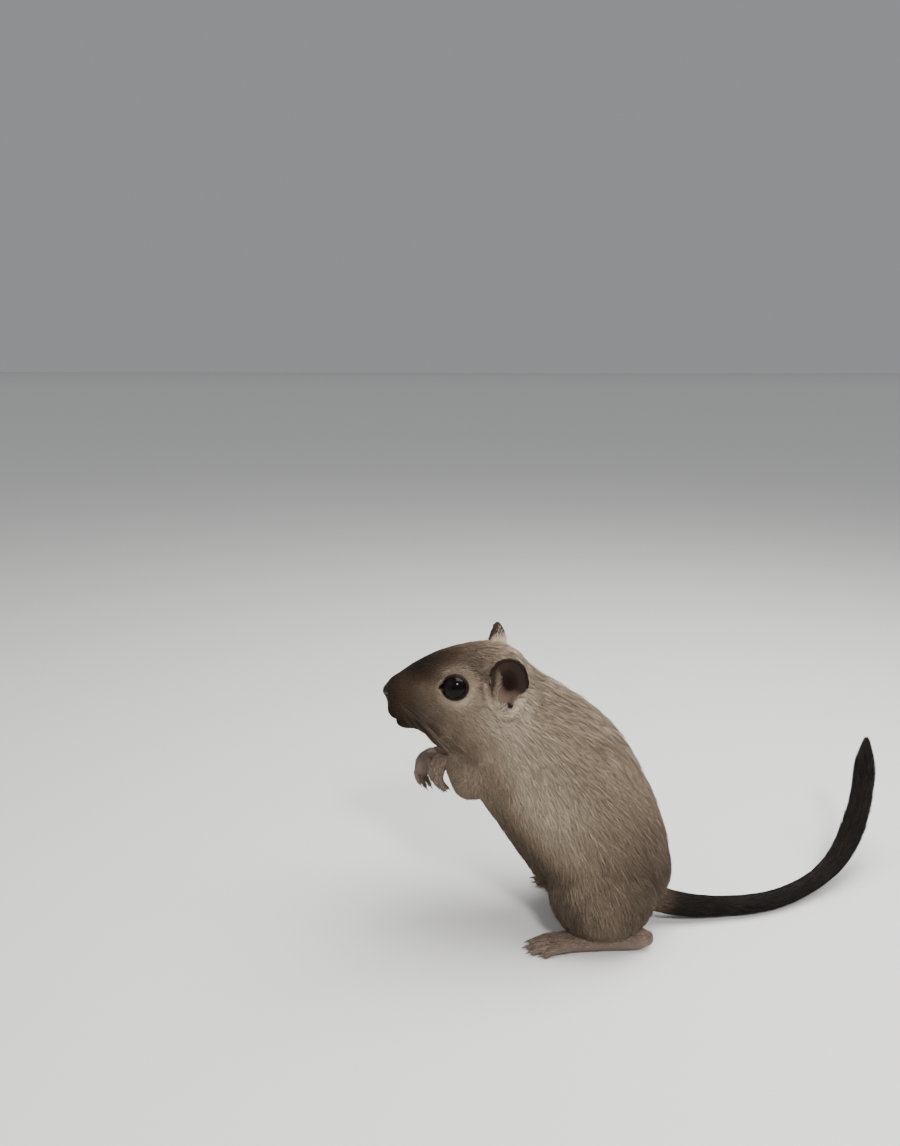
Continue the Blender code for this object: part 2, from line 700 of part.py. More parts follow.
def forepaw(name, shift, side, leg, body):
    """A forepaw that hangs from the wrist: a flat palm and four fingers with claws."""
    shift = np.array(shift)
    across = mirrored((-math.sin(HAND_TURN), math.cos(HAND_TURN), 0.0), side)
    inwards = mirrored((math.cos(HAND_TURN), math.sin(HAND_TURN), 0.0), side)
    palm_rows = [(*(mirrored(row[:3], side) + shift), row[3]) for row in PALM]
    pieces = [tube("palm", palm_rows, sides=14, flatness=PALM_FLATNESS, across=across, rings=9)]
    knuckles = np.array(palm_rows[-1][:3])
    claws = []
    for i, length in enumerate(FINGER_LENGTHS):
        spread = (i - 1.5) * FINGER_SPACING
        root = knuckles + across * spread + UP * 0.3 * abs(i - 1.5)
        rows = []
        for share in np.linspace(0.0, 1.0, 5):
            curl = FINGER_CURL * length * share**2
            place = root + inwards * curl + across * 0.16 * spread * share - UP * length * share
            rows.append((*place, FINGER_RADIUS * (1 - 0.16 * share)))
        pieces.append(tube("finger", rows, sides=10, rings=7))
        tip = np.array(rows[-1][:3])
        before = np.array(rows[-2][:3])
        claws.append(claw(tip, tip - before, FINGER_CLAW, 0.38))
    paw = fuse(name, pieces, voxel=0.3, smoothing=2, triangles=440)
    for one in claws:
        combine(paw, one, "UNION")
    thin(paw, PAW_TRIANGLES)
    set_on(paw, body)
    return set_on(paw, leg)


def foreleg(name, shift, side, body):
    """A foreleg from the elbow to the wrist, set on the chest."""
    rows = []
    for i, row in enumerate(FORELEG):
        share = i / (len(FORELEG) - 1)
        rows.append((*(mirrored(row[:3], side) + np.array(shift) * share), row[3]))
    leg = fuse(name, [tube("leg", rows, sides=20, rings=24)], voxel=0.5, smoothing=4, triangles=FORELEG_TRIANGLES)
    return set_on(leg, body)


def hind_foot(name, side, back, body):
    """A long hind foot, flat on the floor, with five toes and their claws."""
    sole = []
    for x, y, z, half_width, half_height in HIND_FOOT:
        sole.append((x + back, y * side, z, half_width, half_height))
    rows = smooth_rows(sole, 16)
    along, across, up = frames_along(rows[:, :3], np.array([0.0, 1.0, 0.0]))
    turn = np.linspace(0, 2 * math.pi, 16, endpoint=False)
    stack = []
    for r in range(len(rows)):
        from_end = min(r, len(rows) - 1 - r)
        close = (0.55, 0.85, 1.0)[min(from_end, 2)]
        stack.append(
            [
                rows[r, :3]
                + across[r] * rows[r, 3] * close * math.cos(a)
                + up[r] * rows[r, 4] * close * math.sin(a)
                for a in turn
            ]
        )
    pieces = [skin_rings("sole", np.array(stack))]
    claws = []
    for spread, length in zip(TOE_SPREAD, TOE_LENGTHS):
        root = np.array([TOE_ROOTS_X + back, (TOE_ROOTS_Y + spread) * side, TOE_ROOTS_Z])
        splay = (FOOT_SPLAY - 0.085 * spread) * side
        way = np.array([-math.cos(splay), -math.sin(splay), 0.0])
        rows = []
        for share in np.linspace(-0.2, 1.0, 7):
            arch = 0.55 * math.sin(math.pi * max(0.0, share)) - 0.75 * max(0.0, share) ** 2
            rows.append((*(root + way * length * share + UP * arch), TOE_RADIUS * (1 - 0.14 * share)))
        pieces.append(tube("toe", rows, sides=10, rings=9))
        claws.append(claw(np.array(rows[-1][:3]) + UP * 0.28, way + UP * 0.16, TOE_CLAW, 0.46))
    foot = fuse(name, pieces, voxel=0.4, smoothing=2, triangles=600)
    for one in claws:
        combine(foot, one, "UNION")
    flatten_underside(foot)
    thin(foot, FOOT_TRIANGLES)
    return set_on(foot, body)


def tail_length_of(name, starts, ends, radii, sides=12, rings=12):
    """A length of the tail between two shares of its route, square at both ends."""
    route = even_route(TAIL_ROUTE, 401)
    shares = np.linspace(starts, ends, rings)
    places = np.stack([np.interp(shares * 400, np.arange(401), route[:, k]) for k in range(3)], axis=1)
    _, side, up = frames_along(places, UP)
    turn = np.linspace(0, 2 * math.pi, sides, endpoint=False)
    sizes = np.interp(np.linspace(0, 1, rings), np.linspace(0, 1, len(radii)), radii)
    stack = np.array(
        [
            [p + r * (s * math.cos(a) + u * math.sin(a)) for a in turn]
            for p, s, u, r in zip(places, side, up, sizes)
        ]
    )
    return skin_rings(name, stack)


def tail_locks(starts):
    """The brush's locks: flat tapered leaves that leave the core, bend along it and overlap."""
    draw = np.random.default_rng(11)
    route = even_route(TAIL_ROUTE, 401)
    along, side, up = frames_along(route, UP)
    total = route_length(TAIL_ROUTE)
    locks = []
    for ring, share in enumerate(np.linspace(starts, LAST_LOCKS, LOCK_RINGS)):
        for k in range(LOCKS_PER_RING):
            angle = 2 * math.pi * (k + 0.5 * (ring % 2) + draw.uniform(-0.12, 0.12)) / LOCKS_PER_RING
            length = LOCK_LENGTH * draw.uniform(0.88, 1.12) * (1.0 if share < 0.85 else 0.9)
            sections = []
            for t in (0.0, 0.22, 0.5, 0.8, 1.0):
                at = min(share + t * length / total, 1.0)
                beyond = max(0.0, share * total + t * length - total)
                i = at * 400
                place = np.array([np.interp(i, np.arange(401), route[:, c]) for c in range(3)])
                forward = along[min(400, int(round(i)))]
                s, u = side[min(400, int(round(i)))], up[min(400, int(round(i)))]
                spoke = s * math.cos(angle) + u * math.sin(angle)
                rise = LOCK_LIFT * (1 - math.exp(-4.2 * t)) - 0.25 * t * t
                out = TAIL_CORE_RADIUS * 0.55 + rise
                out *= 1.0 - 0.55 * min(1.0, beyond / 6.0)
                middle = place + forward * beyond + spoke * out
                middle = middle - spoke * 0.5 * LOCK_HALF_THICKNESS
                cross = np.cross(forward, spoke)
                sections.append((middle, cross, spoke, t))
            points = []
            for middle, cross, spoke, t in sections[:-1]:
                wide = LOCK_HALF_WIDTH * (0.75 + 0.7 * t - 1.15 * t * t)
                thick = LOCK_HALF_THICKNESS * (1.15 - 0.75 * t)
                points += [middle + cross * wide, middle + spoke * thick, middle - cross * wide]
            points.append(sections[-1][0])
            faces = [(2, 1, 0)]
            for r in range(3):
                for c in range(3):
                    n = (c + 1) % 3
                    faces.append((3 * r + c, 3 * r + n, 3 * r + 3 + n, 3 * r + 3 + c))
            for c in range(3):
                faces.append((9 + c, 9 + (c + 1) % 3, 12))
            locks.append(scene_object("lock", points, faces))
    return locks


def footprint_middle(objects):
    """The middle of the box round all the objects, on the floor."""
    places = np.array([v.co for obj in objects for v in obj.data.vertices])
    middle = (places.min(axis=0) + places.max(axis=0)) / 2
    return Vector((middle[0], middle[1], 0.0))


def finish(obj, name, finish_of, origin, root):
    """Names the node, gives it its material, brings it to metres and hangs it on the root empty."""
    obj.name = name
    obj.data.name = name
    obj.data.materials.clear()
    obj.data.materials.append(finish_of)
    places = np.array([v.co for v in obj.data.vertices])
    middle = Vector((places.min(axis=0) + places.max(axis=0)) / 2)
    obj.data.transform(Matrix.Translation(-middle))
    obj.data.transform(Matrix.Scale(MILLIMETRE, 4))
    obj.location = (middle - origin) * MILLIMETRE
    obj.parent = root
    obj.data.shade_smooth()


def main():
    for obj in list(bpy.data.objects):
        bpy.data.objects.remove(obj)
    bpy.context.scene.unit_settings.length_unit = "MILLIMETERS"

    beige = material("coat_beige", FUR_BEIGE, 0.9)
    dark = material("coat_dark", FUR_DARK, 0.85)
    ear_skin = material("ear_skin", EAR_SKIN, 0.7)
    paw_skin = material("paw_skin", PAW_SKIN, 0.6)
    eye_black = material("eye_black", EYE_BLACK, 0.06, coat=1.0)

    body = whole_body()
    for side in (1, -1):
        make_room_for_ear(body, side)
    head, neck, torso, thighs = part_body(body)
    thin(dress_head(head), DRESSED_HEAD_TRIANGLES)
    nodes = [(head, "head", beige), (neck, "neck", beige), (torso, "torso", beige)]

    for name, side in (("left", 1), ("right", -1)):
        shift = (0.0, 0.0, 0.0) if name == "left" else RIGHT_HAND_SHIFT
        foot_back = 0.0 if name == "left" else RIGHT_FOOT_BACK
        leg = foreleg(f"foreleg_{name}", shift, side, body)
        paw = forepaw(f"forepaw_{name}", shift, side, leg, body)
        foot = hind_foot(f"hind_foot_{name}", side, foot_back, body)
        nodes += [
            (ear(f"ear_{name}", side, body), f"ear_{name}", ear_skin),
            (eye(f"eye_{name}", side), f"eye_{name}", eye_black),
            (leg, f"foreleg_{name}", beige),
            (paw, f"forepaw_{name}", paw_skin),
            (thighs[name], f"thigh_{name}", beige),
            (foot, f"hind_foot_{name}", paw_skin),
        ]

    gap_share = GAP / route_length(TAIL_ROUTE)
    tail_base = tail_length_of("tail_base", 0.0, TAIL_MID_STARTS, TAIL_BASE_RADII)
    set_on(tail_base, body)
    flatten_underside(tail_base)
    tail_mid = tail_length_of(
        "tail_mid", TAIL_MID_STARTS + gap_share, TAIL_BRUSH_STARTS, (TAIL_RADIUS, TAIL_RADIUS, TAIL_RADIUS)
    )
    flatten_underside(tail_mid)
    brush_starts = TAIL_BRUSH_STARTS + gap_share
    narrows = (TAIL_RADIUS, 2.3, TAIL_CORE_RADIUS, TAIL_CORE_RADIUS, TAIL_CORE_RADIUS, 1.3)
    brush = tail_length_of("tail_brush", brush_starts, CORE_ENDS, narrows, sides=10)
    combine_all(brush, tail_locks(brush_starts + 0.012))
    keep_largest(brush)
    flatten_underside(brush)
    nodes += [(tail_base, "tail_base", dark), (tail_mid, "tail_mid", dark), (brush, "tail_brush", dark)]

    bpy.data.objects.remove(body)
    root = bpy.data.objects.new("gerbil", None)
    bpy.context.scene.collection.objects.link(root)
    origin = footprint_middle([obj for obj, _, _ in nodes])
    for obj, name, finish_of in nodes:
        finish(obj, name, finish_of, origin, root)


main()
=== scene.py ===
"""A Mongolian gerbil, life size, reared up on its haunches: the looks of a still museum model."""

import math

import bmesh
import bpy
import numpy as np
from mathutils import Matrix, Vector


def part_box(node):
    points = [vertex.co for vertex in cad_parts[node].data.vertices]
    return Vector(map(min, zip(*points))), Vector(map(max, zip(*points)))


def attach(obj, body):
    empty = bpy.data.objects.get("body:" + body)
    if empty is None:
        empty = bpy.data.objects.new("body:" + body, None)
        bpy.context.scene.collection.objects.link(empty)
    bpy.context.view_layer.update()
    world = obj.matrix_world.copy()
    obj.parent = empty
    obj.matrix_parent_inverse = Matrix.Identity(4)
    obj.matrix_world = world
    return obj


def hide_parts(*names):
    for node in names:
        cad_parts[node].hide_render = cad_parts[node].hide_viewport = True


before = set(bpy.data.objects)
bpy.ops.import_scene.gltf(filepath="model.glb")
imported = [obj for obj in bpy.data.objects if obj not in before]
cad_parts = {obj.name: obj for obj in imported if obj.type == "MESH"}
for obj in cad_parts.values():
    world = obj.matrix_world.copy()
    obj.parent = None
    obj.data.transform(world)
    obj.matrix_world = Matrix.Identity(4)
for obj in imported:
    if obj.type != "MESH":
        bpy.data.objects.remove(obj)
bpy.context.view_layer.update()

# The skin under the coat. One soft closed surface takes the place of head, ears, neck, trunk, thighs
# and forelegs, as the flayed and mounted skin of the real model does, and lies inside them by the
# depth of the coat. Its face carries the lids, nostrils and mouth, and its colours are the coat's.
PAIRS = [f"{part}_{side}" for part in ("thigh", "foreleg", "ear") for side in ("left", "right")]
FLESH = ("head", "neck", "torso", *PAIRS)
SIDES = (1, -1)
NOSE_TIP = np.array([-57.1, -5.2, 65.5])
HEAD_TURN, HEAD_TIP = math.radians(9.0), math.radians(3.0)
UP = np.array([0.0, 0.0, 1.0])
LEVEL_LEFT = np.array([math.sin(HEAD_TURN), -math.cos(HEAD_TURN), 0.0])
HEAD_BACK = np.array([math.cos(HEAD_TURN), math.sin(HEAD_TURN), 0.0])
HEAD_LEFT = math.cos(HEAD_TIP) * LEVEL_LEFT - math.sin(HEAD_TIP) * UP
HEAD_UP = math.cos(HEAD_TIP) * UP + math.sin(HEAD_TIP) * LEVEL_LEFT
HEAD_AXES = np.stack([HEAD_BACK, HEAD_LEFT, HEAD_UP])
EYE_RADIUS, EYE_PLACE, EYE_LOOKS = 3.5, (18.4, 7.0, 3.2), (-0.26, 0.93, 0.25)
LID_FLATNESS, LID_RIM = 0.94, 3.22
NOSTRIL_OUT, NOSTRIL_UP, MOUTH_HALF_WIDTH = 1.35, -0.75, 6.4
EAR_ROOT, EAR_HEIGHT, EAR_HALF_WIDTH, CUP_DEPTH = (30.4, 13.1, -0.8), 13.8, 4.9, 3.1
EAR_LEANS_BACK, EAR_LEANS_OUT = math.radians(3), math.radians(6)
EAR_OPENS_FORWARD = {1: math.radians(16), -1: math.radians(60)}
SPINE = [(9, 2), (6.5, 7), (3.5, 14), (-3, 27), (-13, 42), (-24, 55), (-32, 61.5), (-38.5, 66)]
SPINE = np.array(SPINE, float)
TAIL_ROOT = np.array([13.6, 0.0, 7.4])
ARM = [(-24.0, -5.5, 51.0, 6.5), (-29.5, -11.0, 45.4, 5.3), (-34.0, -12.4, 43.2, 4.2)]
ARM = np.array([*ARM, (-36.6, -10.4, 45.0, 3.3), (-38.8, -7.8, 47.0, 2.4)])
HAND_SHIFT = {1: np.zeros(3), -1: np.array([-5.0, 0.3, -4.2])}
SWELL, VOXEL = 0.36, 0.56
NAPE_BEHIND, NAPE_ROUNDS = 36.8, 110


def unit(vectors):
    """Each vector divided by its length."""
    return vectors / np.maximum(np.linalg.norm(vectors, axis=-1, keepdims=True), 1e-9)


def head_place(behind, left, above):
    """The point so far behind, to the left of and above the tip of the nose, in millimetres."""
    return NOSE_TIP + np.array([behind, left, above]) @ HEAD_AXES


def head_way(behind, left, above):
    """A direction given in the head's own axes, of length 1."""
    return unit(np.array([behind, left, above], float) @ HEAD_AXES)


def step(low, high, values):
    """0 below low, 1 above high, and the smooth curve 3t^2 - 2t^3 between."""
    t = np.clip((values - low) / (high - low), 0.0, 1.0)
    return t * t * (3.0 - 2.0 * t)


def bell(values, width):
    """exp(-(v / width)^2): 1 at 0, falling away on both sides."""
    return np.exp(-((values / width) ** 2))


def eye_frame(side):
    """The eye's centre, and its directions outwards, backwards and upwards."""
    behind, left, above = EYE_PLACE
    out = head_way(EYE_LOOKS[0], EYE_LOOKS[1] * side, EYE_LOOKS[2])
    back = unit(HEAD_BACK - out * (HEAD_BACK @ out))
    up = np.cross(out, back)
    return head_place(behind, left * side, above), out, back, up * np.sign(up[2])


def eye_place(points, side):
    """How far each point lies out, back and up from an eye's centre, its distance from it, and its reach
    from the eye's axis, over which the lids are flat ovals."""
    centre, out, back, up = eye_frame(side)
    away = points - centre
    along, high = away @ back, away @ up
    return away @ out, along, high, np.linalg.norm(away, axis=1), np.hypot(along, high / LID_FLATNESS)


def ear_frame(side):
    """The ear's root, and its directions upwards, backwards and the way that it opens."""
    behind, left, above = EAR_ROOT
    forward = EAR_OPENS_FORWARD[side]
    upwards = head_way(math.sin(EAR_LEANS_BACK), math.sin(EAR_LEANS_OUT) * side, math.cos(EAR_LEANS_OUT))
    opens = head_way(-math.sin(forward), math.cos(forward) * side, 0.12)
    opens = unit(opens - upwards * (opens @ upwards))
    backward = np.cross(upwards, opens)
    return head_place(behind, left * side, above), upwards, backward * np.sign(backward @ HEAD_BACK), opens


def even_route(rows, count):
    """Points at even distances along the smooth curve (Catmull-Rom) through the rows, and its length."""
    rows = np.asarray(rows, float)
    padded = np.vstack([2 * rows[0] - rows[1], rows, 2 * rows[-1] - rows[-2]])
    t = np.linspace(0, len(rows) - 1, 600)
    i = np.minimum(t.astype(int), len(rows) - 2)
    u = (t - i)[:, None]
    a, b, c, d = padded[i], padded[i + 1], padded[i + 2], padded[i + 3]
    fine = 0.5 * (2 * b + (c - a) * u + (2 * a - 5 * b + 4 * c - d) * u**2 + (3 * b - a - 3 * c + d) * u**3)
    run = np.concatenate([[0], np.cumsum(np.linalg.norm(np.diff(fine[:, :3], axis=0), axis=1))])
    wanted = np.linspace(0, run[-1], count)
    return np.stack([np.interp(wanted, run, fine[:, k]) for k in range(rows.shape[1])], axis=1), run[-1]


def arm_place(points):
    """How much each point lies on a foreleg, how far down it from shoulder (0) to wrist (1), and the way
    down it."""
    on, down, way = np.zeros(len(points)), np.zeros(len(points)), np.zeros_like(points)
    for side in SIDES:
        rows = ARM * (1.0, side, 1.0, 1.0)
        rows[:, :3] += HAND_SHIFT[side] * np.linspace(0, 1, len(ARM))[:, None]
        route, _ = even_route(rows, 24)
        away = np.linalg.norm(points[:, None, :] - route[None, :, :3], axis=2) - route[None, :, 3]
        nearest = away.argmin(axis=1)
        share = nearest / 23.0
        here = step(2.6, 1.2, away.min(axis=1)) * step(0.22, 0.42, share)
        closer = here > on
        on, down = np.where(closer, here, on), np.where(closer, share, down)
        way = np.where(closer[:, None], unit(np.gradient(route[:, :3], axis=0))[nearest], way)
    return on, down, way


eye_low, eye_high = (np.array(corner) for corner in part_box("eye_left"))
PLAN_TO_ROW = (eye_low + eye_high) * 500.0 - eye_frame(1)[0]


def in_row(points):
    """Points of the plan, in millimetres, as places in the row's frame, in metres."""
    return (points + PLAN_TO_ROW) * 0.001


def in_plan(points):
    """Places in the row's frame, in metres, as points of the plan, in millimetres."""
    return points * 1000.0 - PLAN_TO_ROW


def plain_object(name, points, faces):
    """An object of these points, as they are, and these faces of equal numbers of corners."""
    mesh = bpy.data.meshes.new(name)
    faces = np.asarray(faces, np.int32)
    mesh.vertices.add(len(points))
    mesh.vertices.foreach_set("co", points.astype(np.float32).ravel())
    mesh.loops.add(faces.size)
    mesh.loops.foreach_set("vertex_index", faces.ravel())
    mesh.polygons.add(len(faces))
    mesh.polygons.foreach_set("loop_start", np.arange(len(faces), dtype=np.int32) * faces.shape[1])
    mesh.update(calc_edges=True)
    obj = bpy.data.objects.new(name, mesh)
    bpy.context.scene.collection.objects.link(obj)
    return obj


def mesh_object(name, points, faces):
    """A smooth object of these points, in millimetres of the plan, and these faces."""
    obj = plain_object(name, in_row(points), faces)
    obj.data.validate()
    obj.data.polygons.foreach_set("use_smooth", np.full(len(obj.data.polygons), True))
    return obj


def vertex_arrays(mesh):
    """The mesh's points and their normals."""
    points, normals = np.empty(len(mesh.vertices) * 3), np.empty(len(mesh.vertices) * 3)
    mesh.vertices.foreach_get("co", points)
    mesh.vertex_normals.foreach_get("vector", normals)
    return points.reshape(-1, 3), normals.reshape(-1, 3)


def triangle_array(mesh):
    """The three corners of each triangle."""
    corners = np.empty(len(mesh.polygons) * 3, np.int32)
    mesh.polygons.foreach_get("vertices", corners)
    return corners.reshape(-1, 3)


def edge_array(mesh):
    """The two ends of each edge."""
    ends = np.empty(len(mesh.edges) * 2, np.int32)
    mesh.edges.foreach_get("vertices", ends)
    return ends.reshape(-1, 2)


def neighbour_sum(values, ends):
    """At each point, the sum of its neighbours' values."""
    total = np.empty_like(values)
    for k in range(3):
        total[:, k] = np.bincount(ends[:, 0], values[ends[:, 1], k], len(values)) + np.bincount(
            ends[:, 1], values[ends[:, 0], k], len(values)
        )
    return total


def evened(points, ends, strength, rounds, shares=(0.5, -0.52)):
    """Each round moves every point by its strength towards the middle of its neighbours, and then as far
    back (Taubin's smoothing), which takes out ripples and keeps the volume. The first share alone levels
    steps."""
    count = np.maximum(np.bincount(ends.ravel(), minlength=len(points)), 1)[:, None]
    strength = strength[:, None]
    for _ in range(rounds):
        for share in shares:
            points = points + share * strength * (neighbour_sum(points, ends) / count - points)
    return points


def closed_rings(rings, ends=None):
    """The points and triangles of a stack of rings, with a fan over each end, from the ends' own points or
    from the rings' middles, and all faces turned outwards."""
    count, sides = rings.shape[:2]
    here = np.arange(sides)
    on = (here + 1) % sides
    row = np.arange(count - 1)[:, None] * sides
    top, first, last = (count - 1) * sides, count * sides, count * sides + 1
    corners = [(row + here, row + on, row + sides + on), (row + here, row + sides + on, row + sides + here)]
    corners += [(first, on, here), (last, top + here, top + on)]
    faces = [np.stack(np.broadcast_arrays(*three), axis=-1).reshape(-1, 3) for three in corners]
    faces = np.concatenate(faces)
    ends = np.stack([rings[0].mean(axis=0), rings[-1].mean(axis=0)]) if ends is None else ends
    points = np.vstack([rings.reshape(-1, 3), ends])
    a, b, c = (points[faces[:, k]] for k in range(3))
    volume = np.sum(np.cross(a, b) * c)
    return points, faces if volume > 0 else faces[:, ::-1]


def ball_grid(centre, axes, radii, rounds, rings):
    """An ellipsoid: a ring of angles for each step from one pole to the other, and a point at each pole."""
    turn = np.linspace(0, 2 * math.pi, rounds, endpoint=False)
    fall = np.linspace(0, math.pi, rings + 2)[1:-1, None]
    ring = (np.sin(fall) * np.cos(turn), np.sin(fall) * np.sin(turn), np.cos(fall) + 0.0 * turn)
    ring = np.stack(ring, axis=-1)
    poles = np.array([[0, 0, 1], [0, 0, -1]])
    return closed_rings(*(centre + (local * radii) @ np.asarray(axes) for local in (ring, poles)))


def triangulated(mesh, cut=None):
    """Makes triangles of the mesh's faces. Edges whose ends are both in the cut are halved first."""
    work = bmesh.new()
    work.from_mesh(mesh)
    if cut is not None:
        edges = [edge for edge in work.edges if cut[edge.verts[0].index] and cut[edge.verts[1].index]]
        bmesh.ops.subdivide_edges(work, edges=edges, cuts=1, use_grid_fill=True)
    bmesh.ops.triangulate(work, faces=work.faces)
    work.to_mesh(mesh)
    work.free()


def node_copy(node):
    """A node's points and triangles, merged and swollen a little so that it meets its neighbours."""
    single = bmesh.new()
    single.from_mesh(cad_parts[node].data)
    bmesh.ops.remove_doubles(single, verts=single.verts, dist=1e-7)
    copy = bpy.data.meshes.new("copy")
    single.to_mesh(copy)
    single.free()
    points, normals = vertex_arrays(copy)
    return in_plan(points) + normals * SWELL, triangle_array(copy)


def joined(pieces):
    """Pieces of points and faces as one pair of arrays."""
    start = np.cumsum([0] + [len(points) for points, _ in pieces])[:-1]
    faces = np.vstack([faces + first for (_, faces), first in zip(pieces, start)])
    return np.vstack([points for points, _ in pieces]), faces


def melted(name, pieces, voxel):
    """Closed pieces, each an array of points and one of faces, melted into one closed surface."""
    obj = plain_object(name, *joined(pieces))
    melt = obj.modifiers.new("melt", "REMESH")
    melt.mode = "VOXEL"
    melt.voxel_size = voxel
    surface = bpy.data.meshes.new_from_object(obj.evaluated_get(bpy.context.evaluated_depsgraph_get()))
    bpy.data.objects.remove(obj)
    return surface


def in_head(points):
    """Distances behind, to the left of and above the tip of the nose."""
    return ((points - NOSE_TIP) @ HEAD_AXES.T).T


def ear_place(points, side):
    """The distances up, back and out of the cup of an ear, from its root."""
    root, upwards, backward, opens = ear_frame(side)
    away = points - root
    return away @ upwards, away @ backward, away @ opens


def ear_drawn_in(up, back, side):
    """By what share of its width the ear is narrower than its solid: most low down at its back."""
    low = step(0.52, 0.16, up / EAR_HEIGHT)
    return np.where(back > 0.0, 0.46, 0.10) * low + (0.16 if side < 0 else 0.0)


def cup_place(points, side, wider=0.55, higher=0.6, drawn=True):
    """Where a point lies on the oval of an ear (0 at its middle, 1 at its rim), and how far it is in front
    of the bowl of the cup, which is the cup's depth times (1 - oval^2) behind its rim."""
    up, back, out = ear_place(points, side)
    middle = EAR_HEIGHT * 0.5
    wide = EAR_HALF_WIDTH * (1.0 - (ear_drawn_in(up, back, side) if drawn else 0.0)) + wider
    oval = np.hypot((up - middle) / (middle + higher), back / wide)
    return oval, out + CUP_DEPTH * (1.0 - np.minimum(oval, 1.0) ** 2)


def ear_share(points, side, solid=False):
    """1 on the flap and cup of an ear and 0 away from it."""
    oval, over = cup_place(points, side, 1.2, 1.0, False) if solid else cup_place(points, side)
    wall = 1.5 if solid else 1.2
    return step(1.12, 0.98, oval) * step(2.5, 1.5, over) * step(-wall, 0.6 - wall, over)


def on_ears(points, solid=False):
    """The larger share of the two ears."""
    return np.maximum(ear_share(points, 1, solid), ear_share(points, -1, solid))


def coat_depth(points):
    """How deep the coat lies over the skin, in millimetres: deepest on the trunk, thin on the face and
    the wrists, and next to nothing on the nose, the rims of the lids and the ears."""
    behind = in_head(points)[0]
    depth = 0.25 + 1.45 * step(6.0, 40.0, behind)
    on_arm, down_arm, _ = arm_place(points)
    depth = depth * (1.0 - 0.75 * on_arm * step(0.4, 1.0, down_arm))
    depth *= 0.1 + 0.9 * step(1.2, 5.0, behind)
    for side in SIDES:
        depth *= 0.25 + 0.75 * step(4.2, 8.0, eye_place(points, side)[3])
        flap = step(0.05, 0.60, ear_share(points, side, solid=True))
        depth = depth + (0.10 - depth) * flap
    return depth


filled = [ball_grid(eye_frame(side)[0], np.eye(3), (EYE_RADIUS + 0.45,) * 3, 24, 16) for side in SIDES]
surface = melted("skin", [node_copy(node) for node in FLESH] + filled, VOXEL)
points, _ = vertex_arrays(surface)
ears = on_ears(points, solid=True)
points = evened(points, edge_array(surface), 1.0 - 0.55 * ears, 14)
nape = bell(in_head(points)[0] - NAPE_BEHIND, 3.6) * step(54.0, 60.0, points[:, 2]) * (1.0 - ears)
points = evened(points, edge_array(surface), nape, NAPE_ROUNDS, (0.5,))
surface.vertices.foreach_set("co", points.ravel())
triangulated(surface, (in_head(points)[0] < 24.0) & (points[:, 2] > 44.0) | (ears > 0.02))
points, _ = vertex_arrays(surface)
ears = on_ears(points, solid=True)
points = evened(points, edge_array(surface), 1.0 - 0.6 * ears, 6)
surface.vertices.foreach_set("co", points.ravel())
points, normals = vertex_arrays(surface)
points = points - normals * (coat_depth(points) + SWELL)[:, None]


def with_lids(points):
    """Round each eye the skin goes under the ball, rises over it in a rounded rim that is drawn to a point
    at its front, and runs out into the face. With H the height of the ball at each place, the skin's is
    H - 0.45 inside the rim, H + 0.12 at it with 0.22 more on its crest, and the face's own beyond."""
    for side in SIDES:
        height, along, high, away, _ = eye_place(points, side)
        to_front = np.maximum(0.0, -along / np.maximum(np.hypot(along, high), 1e-6)) ** 8
        reach = np.hypot(along / (1.0 + 0.42 * to_front), high / LID_FLATNESS)
        ball = np.sqrt(np.maximum(EYE_RADIUS**2 - np.hypot(along, high) ** 2, 0.0))
        inside = step(3.02, 2.86, reach)
        rim = bell(reach - LID_RIM, 0.42)
        outer = step(4.9, 3.3, reach)
        wanted = height * (1 - outer) + (np.maximum(ball, 1.25) + 0.12) * outer
        wanted = wanted + 0.22 * rim - 0.16 * bell(reach - 4.05, 0.4)
        wanted = wanted * (1 - inside) + (ball - 0.45) * inside
        near = (away < 8.0) & (height > -0.5) & (reach < 5.2)
        points = points + eye_frame(side)[1] * np.where(near, wanted - height, 0.0)[:, None]
    return points


def with_mouth(points):
    """Nostrils as commas pushed in beside the tip of the nose, the cleft below it, and the line of the
    lips, each a narrow bell-shaped furrow."""
    behind, left, above = in_head(points)
    push = np.zeros(len(points))
    for side in SIDES:
        across, high = left * side - NOSTRIL_OUT, above - NOSTRIL_UP
        lean = high - 0.45 * across
        push += 1.15 * np.exp(-((across / 0.75) ** 2) - (lean / 0.42) ** 2) * step(3.0, 1.8, behind)
    cleft = 0.45 * bell(left, 0.26) * step(-1.7, -2.2, above) * step(-6.0, -5.2, above)
    push += cleft * step(4.5, 3.5, behind)
    share = left / MOUTH_HALF_WIDTH
    lips = -7.2 + 0.9 * np.cos(np.pi * np.clip(share, -1.0, 1.0))
    front = step(1.02, 0.92, np.abs(share)) * step(13.0, 11.0, behind)
    push += 0.6 * bell(above - lips, 0.3) * front
    inward = unit(head_place(9.0, 0.0, -3.5) - points)
    return points + inward * push[:, None]


def with_ears(points):
    """Each ear is drawn in where it rises from the head, so that it widens upwards, its front edge is
    rolled over into a soft fold, and the canal is a shallow bell-shaped hollow in the floor of its cup."""
    for side in SIDES:
        backward, opens = ear_frame(side)[2:]
        on = ear_share(points, side, solid=True)
        up, back, out = ear_place(points, side)
        fold = bell(back + 3.9, 1.1) * step(0.10, 0.28, up / EAR_HEIGHT) * step(0.92, 0.70, up / EAR_HEIGHT)
        canal = bell(up - 6.0, 2.0) * bell(back + 0.4, 1.3) * step(0.4, -0.8, out)
        points = points - backward * (back * ear_drawn_in(up, back, side) * on)[:, None]
        points = points + opens * ((0.55 * fold - 0.30 * canal) * on)[:, None]
    return points


